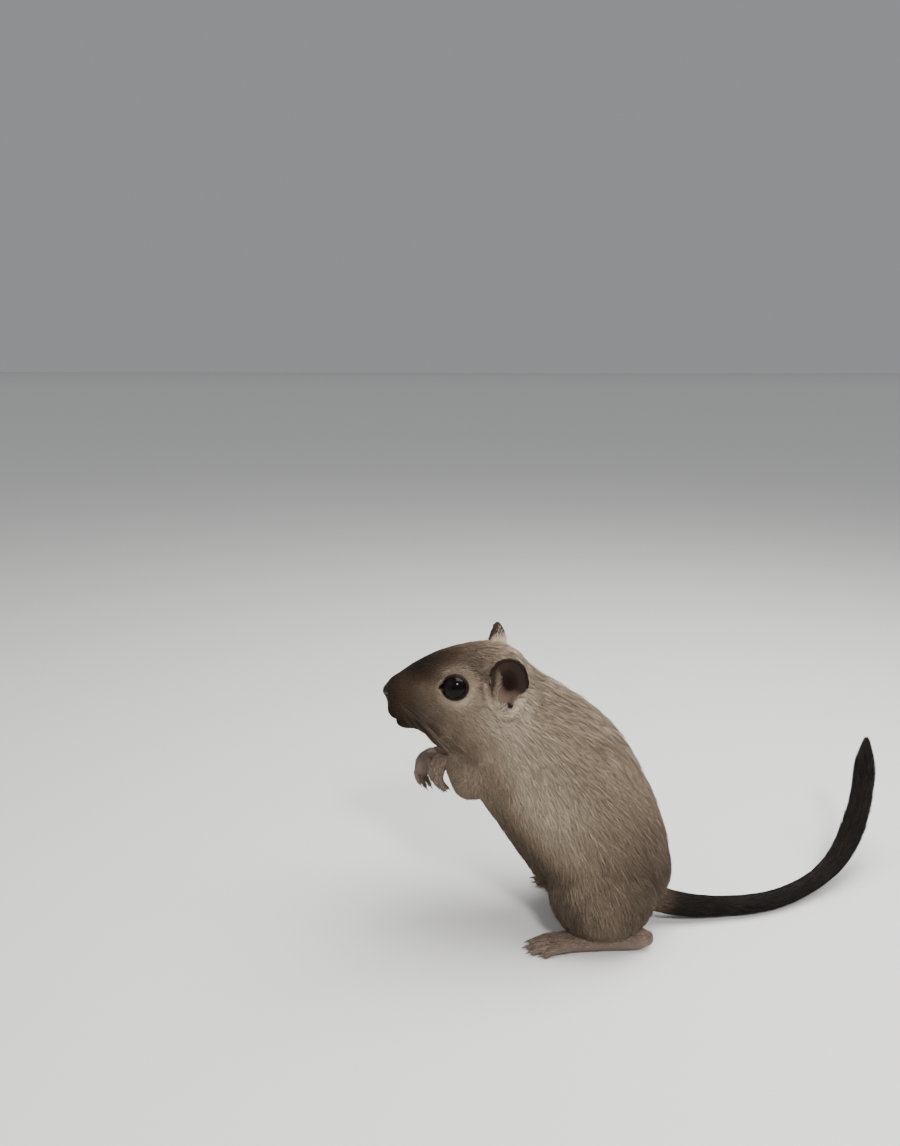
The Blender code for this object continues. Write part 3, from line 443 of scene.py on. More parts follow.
points = with_ears(with_mouth(with_lids(points)))
skin = mesh_object("skin", points, triangle_array(surface))
_, normals = vertex_arrays(skin.data)


def lattice_noise(points, size, seed):
    """Smooth random values from 0 to 1 that change over about the given size: a cube of random numbers
    read with a blend of the eight nearest."""
    table = np.random.default_rng(seed).random((32, 32, 32))
    place = points / size
    cell = np.floor(place).astype(int)
    t = place - cell
    t = t * t * (3 - 2 * t)
    value = np.zeros(len(points))
    for corner in np.ndindex(2, 2, 2):
        weight = np.prod(np.where(np.array(corner) == 1, t, 1 - t), axis=1)
        i, j, k = ((cell + np.array(corner)) % 32).T
        value += weight * table[i, j, k]
    return value


def spine_behind(points):
    """How far back the spine lies at each point's height."""
    return np.interp(points[:, 2], SPINE[:, 1], SPINE[:, 0])


def markings(points):
    """What the coat's colour follows at each point: how dark the points of the coat are there (muzzle,
    bridge of the nose, root of the tail), how much pink skin shows, and how pale the fur is, from the pale
    neck and shoulders to the deeper beige of the brow and the haunches, with painted shade that makes the
    fur darker towards the bottom of the trunk and on the front of the throat, chest and belly."""
    behind, _, above = in_head(points)
    on_head = step(44.0, 34.0, behind) * step(40.0, 46.0, points[:, 2])
    wander = (lattice_noise(points, 2.6, 5) - 0.5) * 2.0
    limit = 10.0 + 1.25 * np.clip(above - 4.0, 0.0, 9.0) + 0.45 * np.clip(-1.0 - above, 0.0, 8.0) + wander
    mask = step(5.6, -5.6, behind - limit)
    crest = step(2.0, 7.0, above) * step(25.0, 14.0, behind)
    level = 0.58 + 0.34 * crest + 0.12 * step(-3.0, -8.0, above) + 0.26 * step(5.5, 1.5, behind)
    dark = np.clip(mask * level, 0.0, 0.95) * on_head
    pink = step(9.0, 4.0, behind) * step(1.5, -2.0, above) * 0.12 * on_head

    brow = step(2.5, 8.0, above) * step(34.0, 22.0, behind)
    cheek = bell(above + 2.0, 6.0) * step(12.0, 20.0, behind)
    face = 0.16 + 0.58 * step(15.0, 34.0, behind) + 0.27 * cheek - 0.26 * brow
    face = face - 0.12 * bell(behind - 25.5, 4.0) * bell(above - 6.0, 4.0)
    spine_x = spine_behind(points)
    # Painted shade: the fur is darkened on the front of the throat, chest and belly, and towards the bottom
    # of the trunk.
    front = step(4.0, 17.0, spine_x - points[:, 0])
    low = step(50.0, 14.0, points[:, 2])
    trunk = 0.98 - 0.36 * step(-4.0, 12.0, points[:, 0] - spine_x) - 0.72 * low
    trunk = trunk - 0.55 * front * step(55.0, 42.0, points[:, 2])
    head_share = step(40.0, 26.0, behind) * step(40.0, 48.0, points[:, 2])
    pale = face * head_share + trunk * (1.0 - head_share)
    pale = pale + (0.34 - pale) * arm_place(points)[0]
    for side in SIDES:
        away, reach = eye_place(points, side)[3:]
        pale += 0.30 * step(9.0, 4.0, away) * step(6.8, 4.4, reach)
        up, back, out = ear_place(points, side)
        round_ear = 0.5 * step(9.5, 6.0, np.hypot(up - 6.0, back)) * (1.0 if side < 0 else 0.3)
        pale += round_ear * step(6.0, 3.0, np.abs(out))
    from_tail = np.linalg.norm((points - TAIL_ROOT) * (1.0, 1.0, 1.15), axis=1)
    dark = np.maximum(dark, step(9.5, 4.6, from_tail) * 0.95)
    return dark, pink, np.clip(pale, 0.0, 1.0)


def lid_dark(points):
    """The black rims of the lids, and the short line that runs on from the front corner of each."""
    dark = np.zeros(len(points))
    for side in SIDES:
        _, along, high, away, reach = eye_place(points, side)
        corner = bell(high + 0.1, 0.42) * step(-3.0, -3.4, along) * step(-4.7, -3.9, along)
        near = step(6.0, 5.0, away)
        dark = np.maximum(dark, np.clip(1.3 * bell(reach - 3.12, 0.46) + corner, 0, 1) * near)
    return dark


def ear_colours(points, normals):
    """On the ears: how much the place is bare ear skin, and how dark and how red it is. The rim is dark,
    and the front fold and the lobe pinkish beige. The canal is painted shade over red skin, and the dark
    grey-brown inside above and behind, the darker front edge of the fold and a dark spot at the root of the
    near ear are painted shade."""
    share, dark, red = (np.zeros(len(points)) for _ in range(3))
    for side in SIDES:
        on = ear_share(points, side)
        up, back, out = ear_place(points, side)
        high = np.clip(up / EAR_HEIGHT, 0.0, 1.0)
        rim = cup_place(points, side, 0.0, 0.0)[0]
        over = cup_place(points, side)[1]
        inside = step(-0.35, 0.05, normals @ ear_frame(side)[3]) * step(-0.2, 0.1, over)
        # Painted shade: the canal, the cup above and behind, the front edge of the fold and a spot at the
        # root of the near ear are darkened; of these darkenings only the edge along the rim is the ear's
        # own colour.
        canal = bell(up - 6.0, 2.3) * bell(back + 0.4, 1.5) * step(2.0, 1.0, out)
        hollow = step(-2.9, -1.2, back + 0.5 * (up - 7.0)) * step(0.24, 0.40, high)
        low_front = step(-2.4, -3.6, back) * step(0.66, 0.46, high)
        edge = step(0.86, 0.96, rim) * step(0.25, 0.45, high) * (1.0 - low_front)
        fold_shade = 0.55 * step(-3.1, -4.0, back) * step(0.25, 0.45, high)
        ear_base_shadow = bell(up - 0.7, 0.7) * bell(back - 0.6, 1.1) * (side > 0)
        shade = np.clip((1.25 * canal + 0.88 * hollow + ear_base_shadow + fold_shade) * inside + edge, 0.0, 1.0)
        share = np.maximum(share, on * np.maximum(inside, edge))
        dark, red = np.where(on > 0.02, shade, dark), np.where(on > 0.02, canal * inside, red)
    return share, dark, red


def attributes(obj, **numbers):
    """Numbers for each vertex, which the object's material reads by these names."""
    for name, values in numbers.items():
        made = obj.data.attributes.new(name, "FLOAT", "POINT")
        made.data.foreach_set("value", np.asarray(values, np.float32))


class Socket:
    """An output of a node. Arithmetic on it adds Math nodes to its material."""

    def __init__(self, made, output):
        self.made, self.output = made, output

    def _math(self, operation, *values):
        return self.made.node("ShaderNodeMath", {"operation": operation}, dict(enumerate(values)))

    def __add__(self, other):
        return self._math("ADD", self, other)

    def __sub__(self, other):
        return self._math("SUBTRACT", self, other)

    def __rsub__(self, other):
        return self._math("SUBTRACT", other, self)

    def __mul__(self, other):
        return self._math("MULTIPLY", self, other)

    __radd__, __rmul__ = __add__, __mul__


class Finish:
    """A material: its nodes are added one by one, and linked by the values given to their sockets."""

    def __init__(self, name, roughness, **constants):
        self.material = bpy.data.materials.new(name)
        self.material.use_nodes = True
        self.shader = self.material.node_tree.nodes["Principled BSDF"]
        self.shader.inputs["Roughness"].default_value = roughness
        for socket, value in constants.items():
            self.shader.inputs[socket.replace("_", " ")].default_value = value

    def node(self, kind, settings=None, values=None, output=0):
        """A node of this kind: its settings are made first, then the values or links of its sockets."""
        made = self.material.node_tree.nodes.new(kind)
        for setting, value in (settings or {}).items():
            if setting == "stops":
                for _ in range(len(value) - 2):
                    made.color_ramp.elements.new(0.5)
                for element, (place, colour) in zip(made.color_ramp.elements, value):
                    element.position, element.color = place, (*colour, 1.0)
            else:
                setattr(made, setting, value)
        for socket, value in (values or {}).items():
            self.link(made.inputs[socket], value)
        return Socket(self, made.outputs[output])

    def link(self, socket, value):
        """Links an output to the socket, or sets the socket's own value."""
        if isinstance(value, Socket):
            self.material.node_tree.links.new(value.output, socket)
        elif socket.type == "RGBA" and len(value) == 3:
            socket.default_value = (*value, 1.0)
        else:
            socket.default_value = value

    def read(self, name):
        """The number that the mesh carries under this name."""
        return self.node("ShaderNodeAttribute", {"attribute_name": name}, output=2)

    def noise(self, scale, detail=2.0, stretch=(1.0, 1.0, 1.0), turn=(0.0, 0.0, 0.0)):
        """Soft noise on the object's own coordinates; scale is in waves a metre."""
        place = self.node("ShaderNodeTexCoord", output=3)
        place = self.node("ShaderNodeMapping", None, {0: place, 2: turn, 3: stretch})
        return self.node("ShaderNodeTexNoise", None, {"Vector": place, "Scale": scale, "Detail": detail})

    def mix(self, share, first, second):
        """The first colour where share is 0 and the second where it is 1."""
        settings = {"data_type": "RGBA", "clamp_factor": True}
        return self.node("ShaderNodeMix", settings, {0: share, 6: first, 7: second}, output=2)

    def shaded(self, colour, share):
        """The colour times share, by Vector Math."""
        return self.node("ShaderNodeVectorMath", {"operation": "SCALE"}, {0: colour, 3: share})

    def bump(self, height, strength, distance):
        """Links a Bump node of this height, in metres, to the shader's Normal."""
        values = {"Strength": strength, "Distance": distance, "Height": height}
        self.link(self.shader.inputs["Normal"], self.node("ShaderNodeBump", None, values))

    def colour(self, value):
        """Links the shader's Base Color."""
        self.link(self.shader.inputs["Base Color"], value)


BEIGE, BEIGE_PALE, BEIGE_DEEP = (0.272, 0.204, 0.147), (0.47, 0.392, 0.296), (0.098, 0.072, 0.050)
POINT_TAN, POINT_BROWN, POINT_BLACK = (0.125, 0.090, 0.062), (0.060, 0.038, 0.024), (0.0055, 0.0043, 0.0037)
FLESH_PINK, BARE_BLACK = (0.42, 0.25, 0.195), (0.020, 0.011, 0.009)
# Of the ear colours, the brown is that of the dark rim and of the painted shade in the cup, and the dark
# red that of the painted shade in the canal.
EAR_BEIGE, EAR_RIM_AND_SHADE_BROWN, CANAL_SHADE_RED = (0.165, 0.110, 0.084), (0.021, 0.0130, 0.0095), (0.014, 0.0028, 0.0022)
SKIN_ROUGHNESS, BARE_SMOOTHER = 0.78, 0.36


def coat_colour(finish, dark, pink, pale):
    """The coat's colour from its markings: beige, paler or deeper, to brown and then black where dark."""
    stops = ((0.0, BEIGE_DEEP), (0.5, BEIGE), (1.0, BEIGE_PALE))
    base = finish.node("ShaderNodeValToRGB", {"stops": stops}, {0: pale})
    base = finish.mix(pink, base, FLESH_PINK)
    stops = ((0.0, POINT_TAN), (0.5, POINT_BROWN), (1.0, POINT_BLACK))
    deep = finish.node("ShaderNodeValToRGB", {"stops": stops}, {0: dark})
    cover = finish.node("ShaderNodeMapRange", None, {0: dark, 1: 0.0, 2: 0.5})
    return finish.mix(cover, base, deep)


skin_finish = Finish("skin_coat", SKIN_ROUGHNESS, Specular_IOR_Level=0.09)
streaks = skin_finish.noise(900.0, 2.0, (1.0, 1.0, 0.22), (0.0, math.radians(-25.0), 0.0))
dark, pink, pale = (skin_finish.read(name) for name in ("dark", "pink", "pale"))
under = coat_colour(skin_finish, dark, pink, pale + (streaks - 0.5) * 0.5)
under = skin_finish.shaded(under, 0.72)
# On the ears: the dark rim, and the painted shade of the cup and of the canal.
ear_dark, ear_red, ear_on = (skin_finish.read(name) for name in ("ear_dark", "ear_red", "ear_on"))
ear_base = skin_finish.mix(ear_dark, EAR_BEIGE, EAR_RIM_AND_SHADE_BROWN)
ear_base = skin_finish.mix(ear_red, ear_base, CANAL_SHADE_RED)
under = skin_finish.mix(ear_on, under, ear_base)
bare = skin_finish.read("bare")
skin_finish.colour(skin_finish.mix(bare, under, BARE_BLACK))
skin_finish.link(skin_finish.shader.inputs["Roughness"], SKIN_ROUGHNESS - bare * BARE_SMOOTHER)
skin_finish.bump(streaks, 0.5, 0.0004)
skin.data.materials.append(skin_finish.material)
dark, pink, pale = markings(points)
dark = np.maximum(dark, lid_dark(points))
ear_on, ear_dark, ear_red = ear_colours(points, normals)
behind, left, above = in_head(points)
bare = step(1.9, 0.9, behind) * step(-2.6, -1.8, above)
for side in SIDES:
    nostril = bell(np.hypot(left - NOSTRIL_OUT * side, (above - NOSTRIL_UP) * 1.5), 0.75)
    bare = np.maximum(bare, nostril * step(3.0, 2.0, behind))
    away, reach = eye_place(points, side)[3:]
    bare = np.maximum(bare, step(3.32, 3.1, reach) * step(6.0, 5.0, away))
attributes(skin, dark=dark, pink=pink, pale=pale)
attributes(skin, ear_on=ear_on, ear_dark=ear_dark, ear_red=ear_red, bare=bare)
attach(skin, "root")
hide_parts(*FLESH)

# The eyes: glossy black balls of glass, a plain ball for each of the solids' eyeballs, set into the
# socket until the rims of the lids lie on it.
EYE_BLACK, EYE_BROWN = (0.003, 0.002, 0.002), (0.006, 0.003, 0.003)
eye_finish = Finish("eye_glass", 0.05, Specular_IOR_Level=0.10)
eye_finish.colour(eye_finish.mix(eye_finish.noise(500.0) * 0.5, EYE_BLACK, EYE_BROWN))
for name, side in (("eye_left", 1), ("eye_right", -1)):
    centre, out, _, up = eye_frame(side)
    ball = ball_grid(centre, (np.cross(up, out), up, out), (EYE_RADIUS,) * 3, 48, 30)
    eyeball = mesh_object(name + "_ball", *ball)
    eyeball.data.materials.append(eye_finish.material)
    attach(eyeball, "root")
    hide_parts(name)

# The coat of the body and head: fine tapered tufts rooted in the skin, that lie along it from the nose
# over the head and down the trunk and legs, long and soft on the trunk and shortest on the face.
TUFT_FLOOR, COAT_FLOOR, STRAY, HEAD_PIECES = 0.1, 0.3, 2.3, 26.0
LARGEST, PARTS = 190000, 2
ends = edge_array(skin.data)
points, normals = vertex_arrays(skin.data)
points = in_plan(points)
for _ in range(4):
    normals = unit(normals + unit(neighbour_sum(normals, ends)))


def blend(first, second, share):
    """The first vectors where share is 0 and the second where it is 1."""
    return first * (1 - share)[:, None] + second * share[:, None]


def coat_lie(points, normals):
    """The way in which the hair lies at each point, flat on the skin: back along the head and round the
    eyes, down the spine on the back, more straight down on flanks and chest, along the forelegs."""
    behind, left, above = in_head(points)
    down = unit(-np.gradient(SPINE, axis=0))
    spine = np.zeros_like(points)
    spine[:, 0], spine[:, 2] = (np.interp(points[:, 2], SPINE[:, 1], down[:, k]) for k in range(2))
    dorsal = np.clip((normals[:, 0] * 0.75 + normals[:, 2] * 0.6 + 1.0) / 1.7, 0.0, 1.0)
    body = unit(spine * (0.35 + 0.65 * dorsal)[:, None] - UP * (0.9 * (1 - dorsal))[:, None])
    sideways = 0.22 * np.sign(left) * step(0, 4, np.abs(left))
    head = np.stack([np.ones(len(points)), sideways, -0.10 - 0.02 * behind], axis=1) @ HEAD_AXES
    lower = step(-3.0, -10.0, above) * step(10.0, 22.0, behind)
    head = unit(head) - UP * (0.8 * lower)[:, None]
    for side in SIDES:
        away = points - eye_frame(side)[0]
        near = step(7.5, 3.6, np.linalg.norm(away, axis=1))
        head = unit(head) + unit(away) * (1.1 * near)[:, None]
    way = blend(unit(head), body, step(25.0, 42.0, behind - 0.35 * above))
    on_arm, share, down_arm = arm_place(points)
    way = blend(way, down_arm, on_arm * (0.20 + 0.80 * step(0.45, 0.80, share)))
    for side in SIDES:
        upwards, backward = ear_frame(side)[1:3]
        way = blend(way, upwards * 0.8 + backward * 0.5, ear_share(points, side))
    return unit(way - normals * np.sum(way * normals, axis=1)[:, None])


lie = coat_lie(points, normals)
skin_surface, skin_normals = points, normals


def neighbour_table(count, ends):
    """For each vertex, the vertices that share an edge with it, filled up with itself."""
    pairs = np.vstack([ends, ends[:, ::-1]])
    pairs = pairs[np.argsort(pairs[:, 0], kind="stable")]
    degree = np.bincount(pairs[:, 0], minlength=count)
    start = np.concatenate([[0], np.cumsum(degree)[:-1]])
    slot = np.arange(len(pairs)) - start[pairs[:, 0]]
    table = np.tile(np.arange(count)[:, None], (1, degree.max()))
    table[pairs[:, 0], slot] = pairs[:, 1]
    return table


table = neighbour_table(len(points), ends)
ahead = np.einsum("ijk,ik->ij", unit(points[table] - points[:, None, :]), lie)
ahead[table == np.arange(len(points))[:, None]] = -1.0
onward = table[np.arange(len(points)), ahead.argmax(axis=1)]


def after(vertices, distance):
    """The vertices reached from these by walking the distances along the lie of the coat, edge by edge."""
    gone = np.zeros(len(vertices))
    here = vertices.copy()
    for _ in range(int(distance.max() / (VOXEL * 0.4)) + 2):
        further = onward[here]
        reach = gone + np.sum((points[further] - points[here]) * lie[here], axis=1).clip(0.02)
        moving = reach <= distance
        here, gone = np.where(moving, further, here), np.where(moving, reach, gone)
    return here


def blades(middles, outward, half_widths, shares):
    """Closed three-sided blades along these middles, widest before their middle, that narrow to a tip."""
    parts = middles.shape[1] - 1
    sides = unit(np.cross(outward, np.gradient(middles, axis=1)))
    taper = (1.0 - shares[:-1] ** 1.6) * (0.75 + 0.5 * np.sin(np.pi * np.minimum(shares[:-1] * 1.5, 1.0)))
    wide = sides[:, :-1] * (half_widths[:, None] * taper)[:, :, None]
    thick = outward[:, :-1] * (half_widths[:, None] * 0.7 * taper)[:, :, None]
    core = middles[:, :-1]
    rings = np.stack([core + wide, core - wide, core + thick], axis=2)
    points = np.concatenate([rings.reshape(len(middles), -1, 3), middles[:, -1:, :]], axis=1)
    pattern = [(0, 1, 2)]
    for r in range(parts - 1):
        for c in range(3):
            n = (c + 1) % 3
            a, b, d, e = 3 * r + c, 3 * r + n, 3 * r + 3 + c, 3 * r + 3 + n
            pattern += [(a, e, b), (a, d, e)]
    last = 3 * (parts - 1)
    pattern += [(last + c, 3 * parts, last + (c + 1) % 3) for c in range(3)]
    each = 3 * parts + 1
    faces = (np.array(pattern)[None] + (np.arange(len(middles)) * each)[:, None, None]).reshape(-1, 3)
    along = np.concatenate([np.repeat(shares[:-1], 3), [1.0]])
    return points.reshape(-1, 3), faces, np.tile(along, len(middles)), each


def grown(roots, root_normals, ways, lengths, half_widths, rises, starts, parts):
    """Tufts as closed three-sided blades. Each runs along its way by shares of its length, is held at its
    height over the skin's plane below it, and narrows to a tip. Height = length x rise x u(1.5 - 0.7u)."""
    shares = np.linspace(0.0, 1.0, parts + 1)
    middles, ups = [], []
    for share in shares:
        place = roots + ways * (lengths * share)[:, None]
        below = after(starts, lengths * share) if share > 0 else starts
        up = normals[below] if share > 0 else root_normals
        over = np.sum((place - points[below]) * up, axis=1)
        height = lengths * rises * share * (1.5 - 0.7 * share) - 0.12 * (share == 0)
        place = place - up * (over * min(1.0, 2.5 * share))[:, None] + up * height[:, None]
        middles.append(place)
        ups.append(up)
    return blades(np.stack(middles, axis=1), np.stack(ups, axis=1), half_widths, shares)


def bake_map(obj, places, each, along):
    """The OFBake map: each tuft is a patch about 0.003 across at its root's place on the skin's unwrap,
    wide across its three sides and long along its length."""
    across = np.tile(np.concatenate([np.tile((-1.0, 1.0, 0.0), each // 3), [0.0]]), len(places))
    spot = np.repeat(places, each, axis=0)
    spot = spot + np.stack([across * 0.0013, (along - 0.5) * 0.003], axis=1)
    loops = np.empty(len(obj.data.loops), np.int32)
    obj.data.loops.foreach_get("vertex_index", loops)
    layer = obj.data.uv_layers.new(name="OFBake")
    layer.data.foreach_set("uv", np.clip(spot, 0.001, 0.999)[loops].astype(np.float32).ravel())


def unwrap(points):
    """The skin opened out: angle round the trunk's spine and height on it below, angle round the head's
    axis and distance behind the nose above."""
    behind, left, above = in_head(points)
    round_body = np.arctan2(points[:, 1], points[:, 0] - spine_behind(points)) / (2 * math.pi) + 0.5
    round_head = np.arctan2(left, above + 3.0) / (2 * math.pi) + 0.5
    on_head = behind < 27.0
    body = np.stack([0.01 + 0.98 * round_body, 0.01 + 0.60 * np.clip(points[:, 2] / 82.0, 0, 1)], axis=1)
    head = np.stack([0.01 + 0.98 * round_head, 0.64 + 0.34 * np.clip(behind / 27.0, 0, 1)], axis=1)
    return np.where(on_head[:, None], head, body)


def blended(values, corners, weights):
    """The values at the corners of triangles, in shares by these weights."""
    return np.einsum("ij,ijk->ik", weights, values[corners])


def scattered(points, corners, density, draw):
    """Roots strewn by chance over triangles, so many to a square millimetre: their triangles' corners and
    the share of each corner."""
    a, b, c = (points[corners[:, k]] for k in range(3))
    expected = 0.5 * np.linalg.norm(np.cross(b - a, c - a), axis=1) * density
    number = np.floor(expected).astype(int) + (draw.random(len(expected)) < expected % 1.0)
    chosen = np.repeat(np.arange(len(expected)), number)
    r1, r2 = np.sqrt(draw.random(len(chosen))), draw.random(len(chosen))
    return corners[chosen], np.stack([1 - r1, r1 * (1 - r2), r1 * r2], axis=1)


def dressed(name, tufts, marks, tone, places):
    """One piece of the coat, of tufts as blades gives them, with the markings, the tone and the place on
    the map of each."""
    tuft_points, tuft_faces, along, each = tufts
    tuft_points[:, 2] = np.maximum(tuft_points[:, 2], TUFT_FLOOR)
    piece = mesh_object(name, tuft_points, tuft_faces)
    dark, pink, pale, tone = (np.repeat(values, each) for values in (*marks, tone))
    attributes(piece, dark=dark, pink=pink, pale=pale, tone=tone, along=along)
    bake_map(piece, places, each, along)
    piece.data.materials.append(coat_finish.material)
    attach(piece, "root")


coat_finish = Finish("coat_fur", 0.62, Specular_IOR_Level=0.11)
dark, pink, pale = (coat_finish.read(name) for name in ("dark", "pink", "pale"))
tip, shade = coat_finish.read("along"), coat_finish.read("tone")
fur = coat_colour(coat_finish, dark, pink * 0.6, pale + shade * 0.30 + (tip - 0.6) * 0.25)
coat_finish.colour(coat_finish.shaded(fur, 0.86 + tip * 0.18 + shade * 0.08))

corners = triangle_array(skin.data)
a, b, c = (points[corners[:, k]] for k in range(3))
middle, face_normals = (a + b + c) / 3, unit(np.cross(b - a, c - a))
behind, left, above = in_head(middle)
face_share = step(42.0, 26.0, behind) * step(38.0, 46.0, middle[:, 2])
density = 9.4 + 3.6 * face_share + 5.0 * step(22.0, 12.0, behind) * face_share
density *= step(1.0, 2.2, behind)
density *= step(0.6, 1.6, middle[:, 2])
for side in SIDES:
    _, along, high, away, reach = eye_place(middle, side)
    clear = 3.42 + 0.9 * step(-2.2, -3.4, along) * bell(high + 0.1, 0.8)
    density *= np.where(away < 7.0, step(0.0, 0.35, reach - clear), 1.0)
    on = ear_share(middle, side)
    up, back, out = ear_place(middle, side)
    rim = cup_place(middle, side, 0.0, 0.0)[0]
    inner = (face_normals @ ear_frame(side)[3] > -0.25) & (cup_place(middle, side)[1] > -0.05)
    furred = (back < -2.5 - 0.35 * (up - 7.0).clip(0.0)) & (up < 10.0) | (up < 0.9)
    density *= np.where((on > 0.05) & (inner & ~furred | (rim > 0.96) & (up > 6.0) & ~furred), 0.0, 1.0)
draw = np.random.default_rng(7)
tri, weights = scattered(points, corners, density, draw)
roots = blended(points, tri, weights)
root_normals, root_lies = (unit(blended(values, tri, weights)) for values in (normals, lie))
nearest = tri[np.arange(len(tri)), weights.argmax(axis=1)]
behind, left, above = in_head(roots)
lengths = 1.0 + 6.0 * step(4.0, 46.0, behind) ** 1.15
on_arm, down_arm, _ = arm_place(roots)
lengths *= 1.0 - 0.62 * on_arm * step(0.50, 0.95, down_arm)
on_ear = on_ears(roots)
for side in SIDES:
    lengths *= 0.5 + 0.5 * step(3.4, 8.5, eye_place(roots, side)[3])
    oval, over = cup_place(roots, side)
    lengths *= 1.0 - 0.55 * step(1.5, 1.1, oval) * step(-4.5, -2.5, over) * step(4.0, 2.5, over)
lengths = np.where(on_ear > 0.3, 1.3, lengths)
lengths *= 0.78 + 0.44 * draw.random(len(roots))
strays = np.linalg.norm(roots + root_lies * lengths[:, None] - points[after(nearest, lengths)], axis=1)
lengths = np.where(strays > STRAY, lengths * 0.4, lengths)
tips = roots[:, 2] + root_lies[:, 2] * lengths
lengths = np.where(tips < COAT_FLOOR, np.maximum(lengths - (COAT_FLOOR - tips) * 1.1, 0.8), lengths)
clump = lattice_noise(roots, 1.7, 21) - 0.5
sway = 0.50 * clump + 0.13 * draw.standard_normal(len(roots))
ways = unit(root_lies + np.cross(root_normals, root_lies) * sway[:, None])
rises = 0.145 + 0.07 * (lattice_noise(roots, 1.9, 22) - 0.5) + 0.035 * draw.standard_normal(len(roots))
rises = np.clip(rises, 0.06, 0.30) * (1.0 - 0.3 * step(12.0, 4.0, behind))
half_widths = (0.10 + 0.007 * lengths) * (0.7 + 0.5 * draw.random(len(roots)))
patches = lattice_noise(roots * (1.0, 1.0, 0.4), 1.2, 23) - 0.5
tone = 0.5 * patches + 0.20 * draw.standard_normal(len(roots))
marks = list(markings(roots))
for side in SIDES:
    up, back, _ = ear_place(roots, side)
    over = cup_place(roots, side)[1]
    # On the ears the tufts darken towards the tip, and, as painted shade, towards the front edge of the
    # fold and at the root of the near ear.
    fold = (root_normals @ ear_frame(side)[3] > -0.25) & (up > 2.0) & (over > -0.05)
    outside = 0.04 + 0.84 * step(0.62, 0.92, up / EAR_HEIGHT)
    tips = np.where(fold, 0.22 + 0.40 * step(-3.0, -4.2, back), outside)
    marks[0] = np.where(ear_share(roots, side) > 0.3, np.maximum(marks[0], tips), marks[0])
    ear_base_shadow = bell(up - 0.7, 0.9) * bell(back - 0.5, 1.0) * step(-0.5, 0.0, over) * (side > 0)
    marks[0] = np.maximum(marks[0], 0.95 * step(0.35, 0.75, ear_base_shadow))
root_map = unwrap(roots)

order = np.argsort(behind)
front = order[behind[order] < HEAD_PIECES]
rear = order[behind[order] >= HEAD_PIECES]
rear = rear[np.argsort(roots[rear, 2])]
faces_each = 6 * (PARTS - 1) + 4
made_of = (roots, root_normals, ways, lengths, half_widths, rises, nearest)
for label, group in (("head", front), ("body", rear)):
    for i, few in enumerate(np.array_split(group, math.ceil(len(group) * faces_each / LARGEST))):
        tufts = grown(*(values[few] for values in made_of), PARTS)
        some = [values[few] for values in marks]
        dressed(f"coat_{label}_{i + 1}", tufts, some, tone[few], root_map[few])

# The tail: a black skin over its core, and hair that lies along it, short at the root and longer towards
# the end, where it makes the brush. It grows out of the rump, and runs out into its beige there.
TAIL_ROUTE = [(12, 0, 7.6), (19, 0.2, 5.4), (28.2, 1.6, 3.6), (42.7, 5, 2.85), (54.6, 10.8, 3.1)]
TAIL_ROUTE += [(66.5, 19.7, 5.4), (75.6, 30, 10.6), (82.2, 41, 20.2), (84.8, 48.4, 30.5)]
TAIL_ROUTE = np.array(TAIL_ROUTE, float)
TAIL_RADII = ((0.0, 3.6), (0.08, 3.2), (0.2, 2.5), (0.54, 2.2), (0.75, 1.8), (0.93, 1.4), (1.0, 0.8))
TUFT_PAST_END, HAIRS, PARTS = 5.2, 11500, 3
TAIL_BLACK, TAIL_GREY, TAIL_BEIGE = (0.006, 0.005, 0.0045), (0.012, 0.010, 0.009), (0.12, 0.082, 0.055)
tail_line, tail_length = even_route(TAIL_ROUTE, 600)
tail_along = unit(np.gradient(tail_line, axis=0))
tail_side = unit(UP - tail_along * (tail_along @ UP)[:, None])
tail_over = np.cross(tail_side, tail_along)


def tail_point(run, turn, radius):
    """The point so far along the tail, at this turn round it and this distance from its core; past its end
    it goes straight on."""
    at = np.clip(run / tail_length, 0.0, 1.0) * (len(tail_line) - 1)
    i = np.arange(len(tail_line))
    place, along, side, over = (
        np.stack([np.interp(at, i, one[:, k]) for k in range(3)], axis=-1)
        for one in (tail_line, tail_along, tail_side, tail_over)
    )
    beyond = np.maximum(run - tail_length, 0.0)[..., None]
    spoke = side * np.cos(turn)[..., None] + over * np.sin(turn)[..., None]
    return place + along * beyond + spoke * radius[..., None]


run = np.linspace(0.0, 1.0, 160)
turn = np.linspace(0, 2 * math.pi, 28, endpoint=False)
radius = np.interp(run, *np.array(TAIL_RADII).T)
tail_rings = tail_point((run * tail_length)[:, None], turn, radius[:, None])
tail_points, tail_faces = closed_rings(tail_rings)
tail_points[:, 2] = np.maximum(tail_points[:, 2], 0.25)
tail = mesh_object("tail_skin", tail_points, tail_faces)
tail_finish = Finish("tail_skin", 0.7, Specular_IOR_Level=0.07)
grain = tail_finish.noise(1500.0)
root_share = tail_finish.read("root_share")
dark_skin = tail_finish.mix(grain, TAIL_BLACK, TAIL_GREY)
tail_finish.colour(tail_finish.mix(root_share, dark_skin, TAIL_BEIGE))
tail_finish.bump(grain, 0.6, 0.0002)
tail.data.materials.append(tail_finish.material)
away = np.linalg.norm(tail_points - TAIL_ROUTE[0], axis=1)
attributes(tail, root_share=step(11.0, 4.0, away))
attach(tail, "root")
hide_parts("tail_base", "tail_mid", "tail_brush")

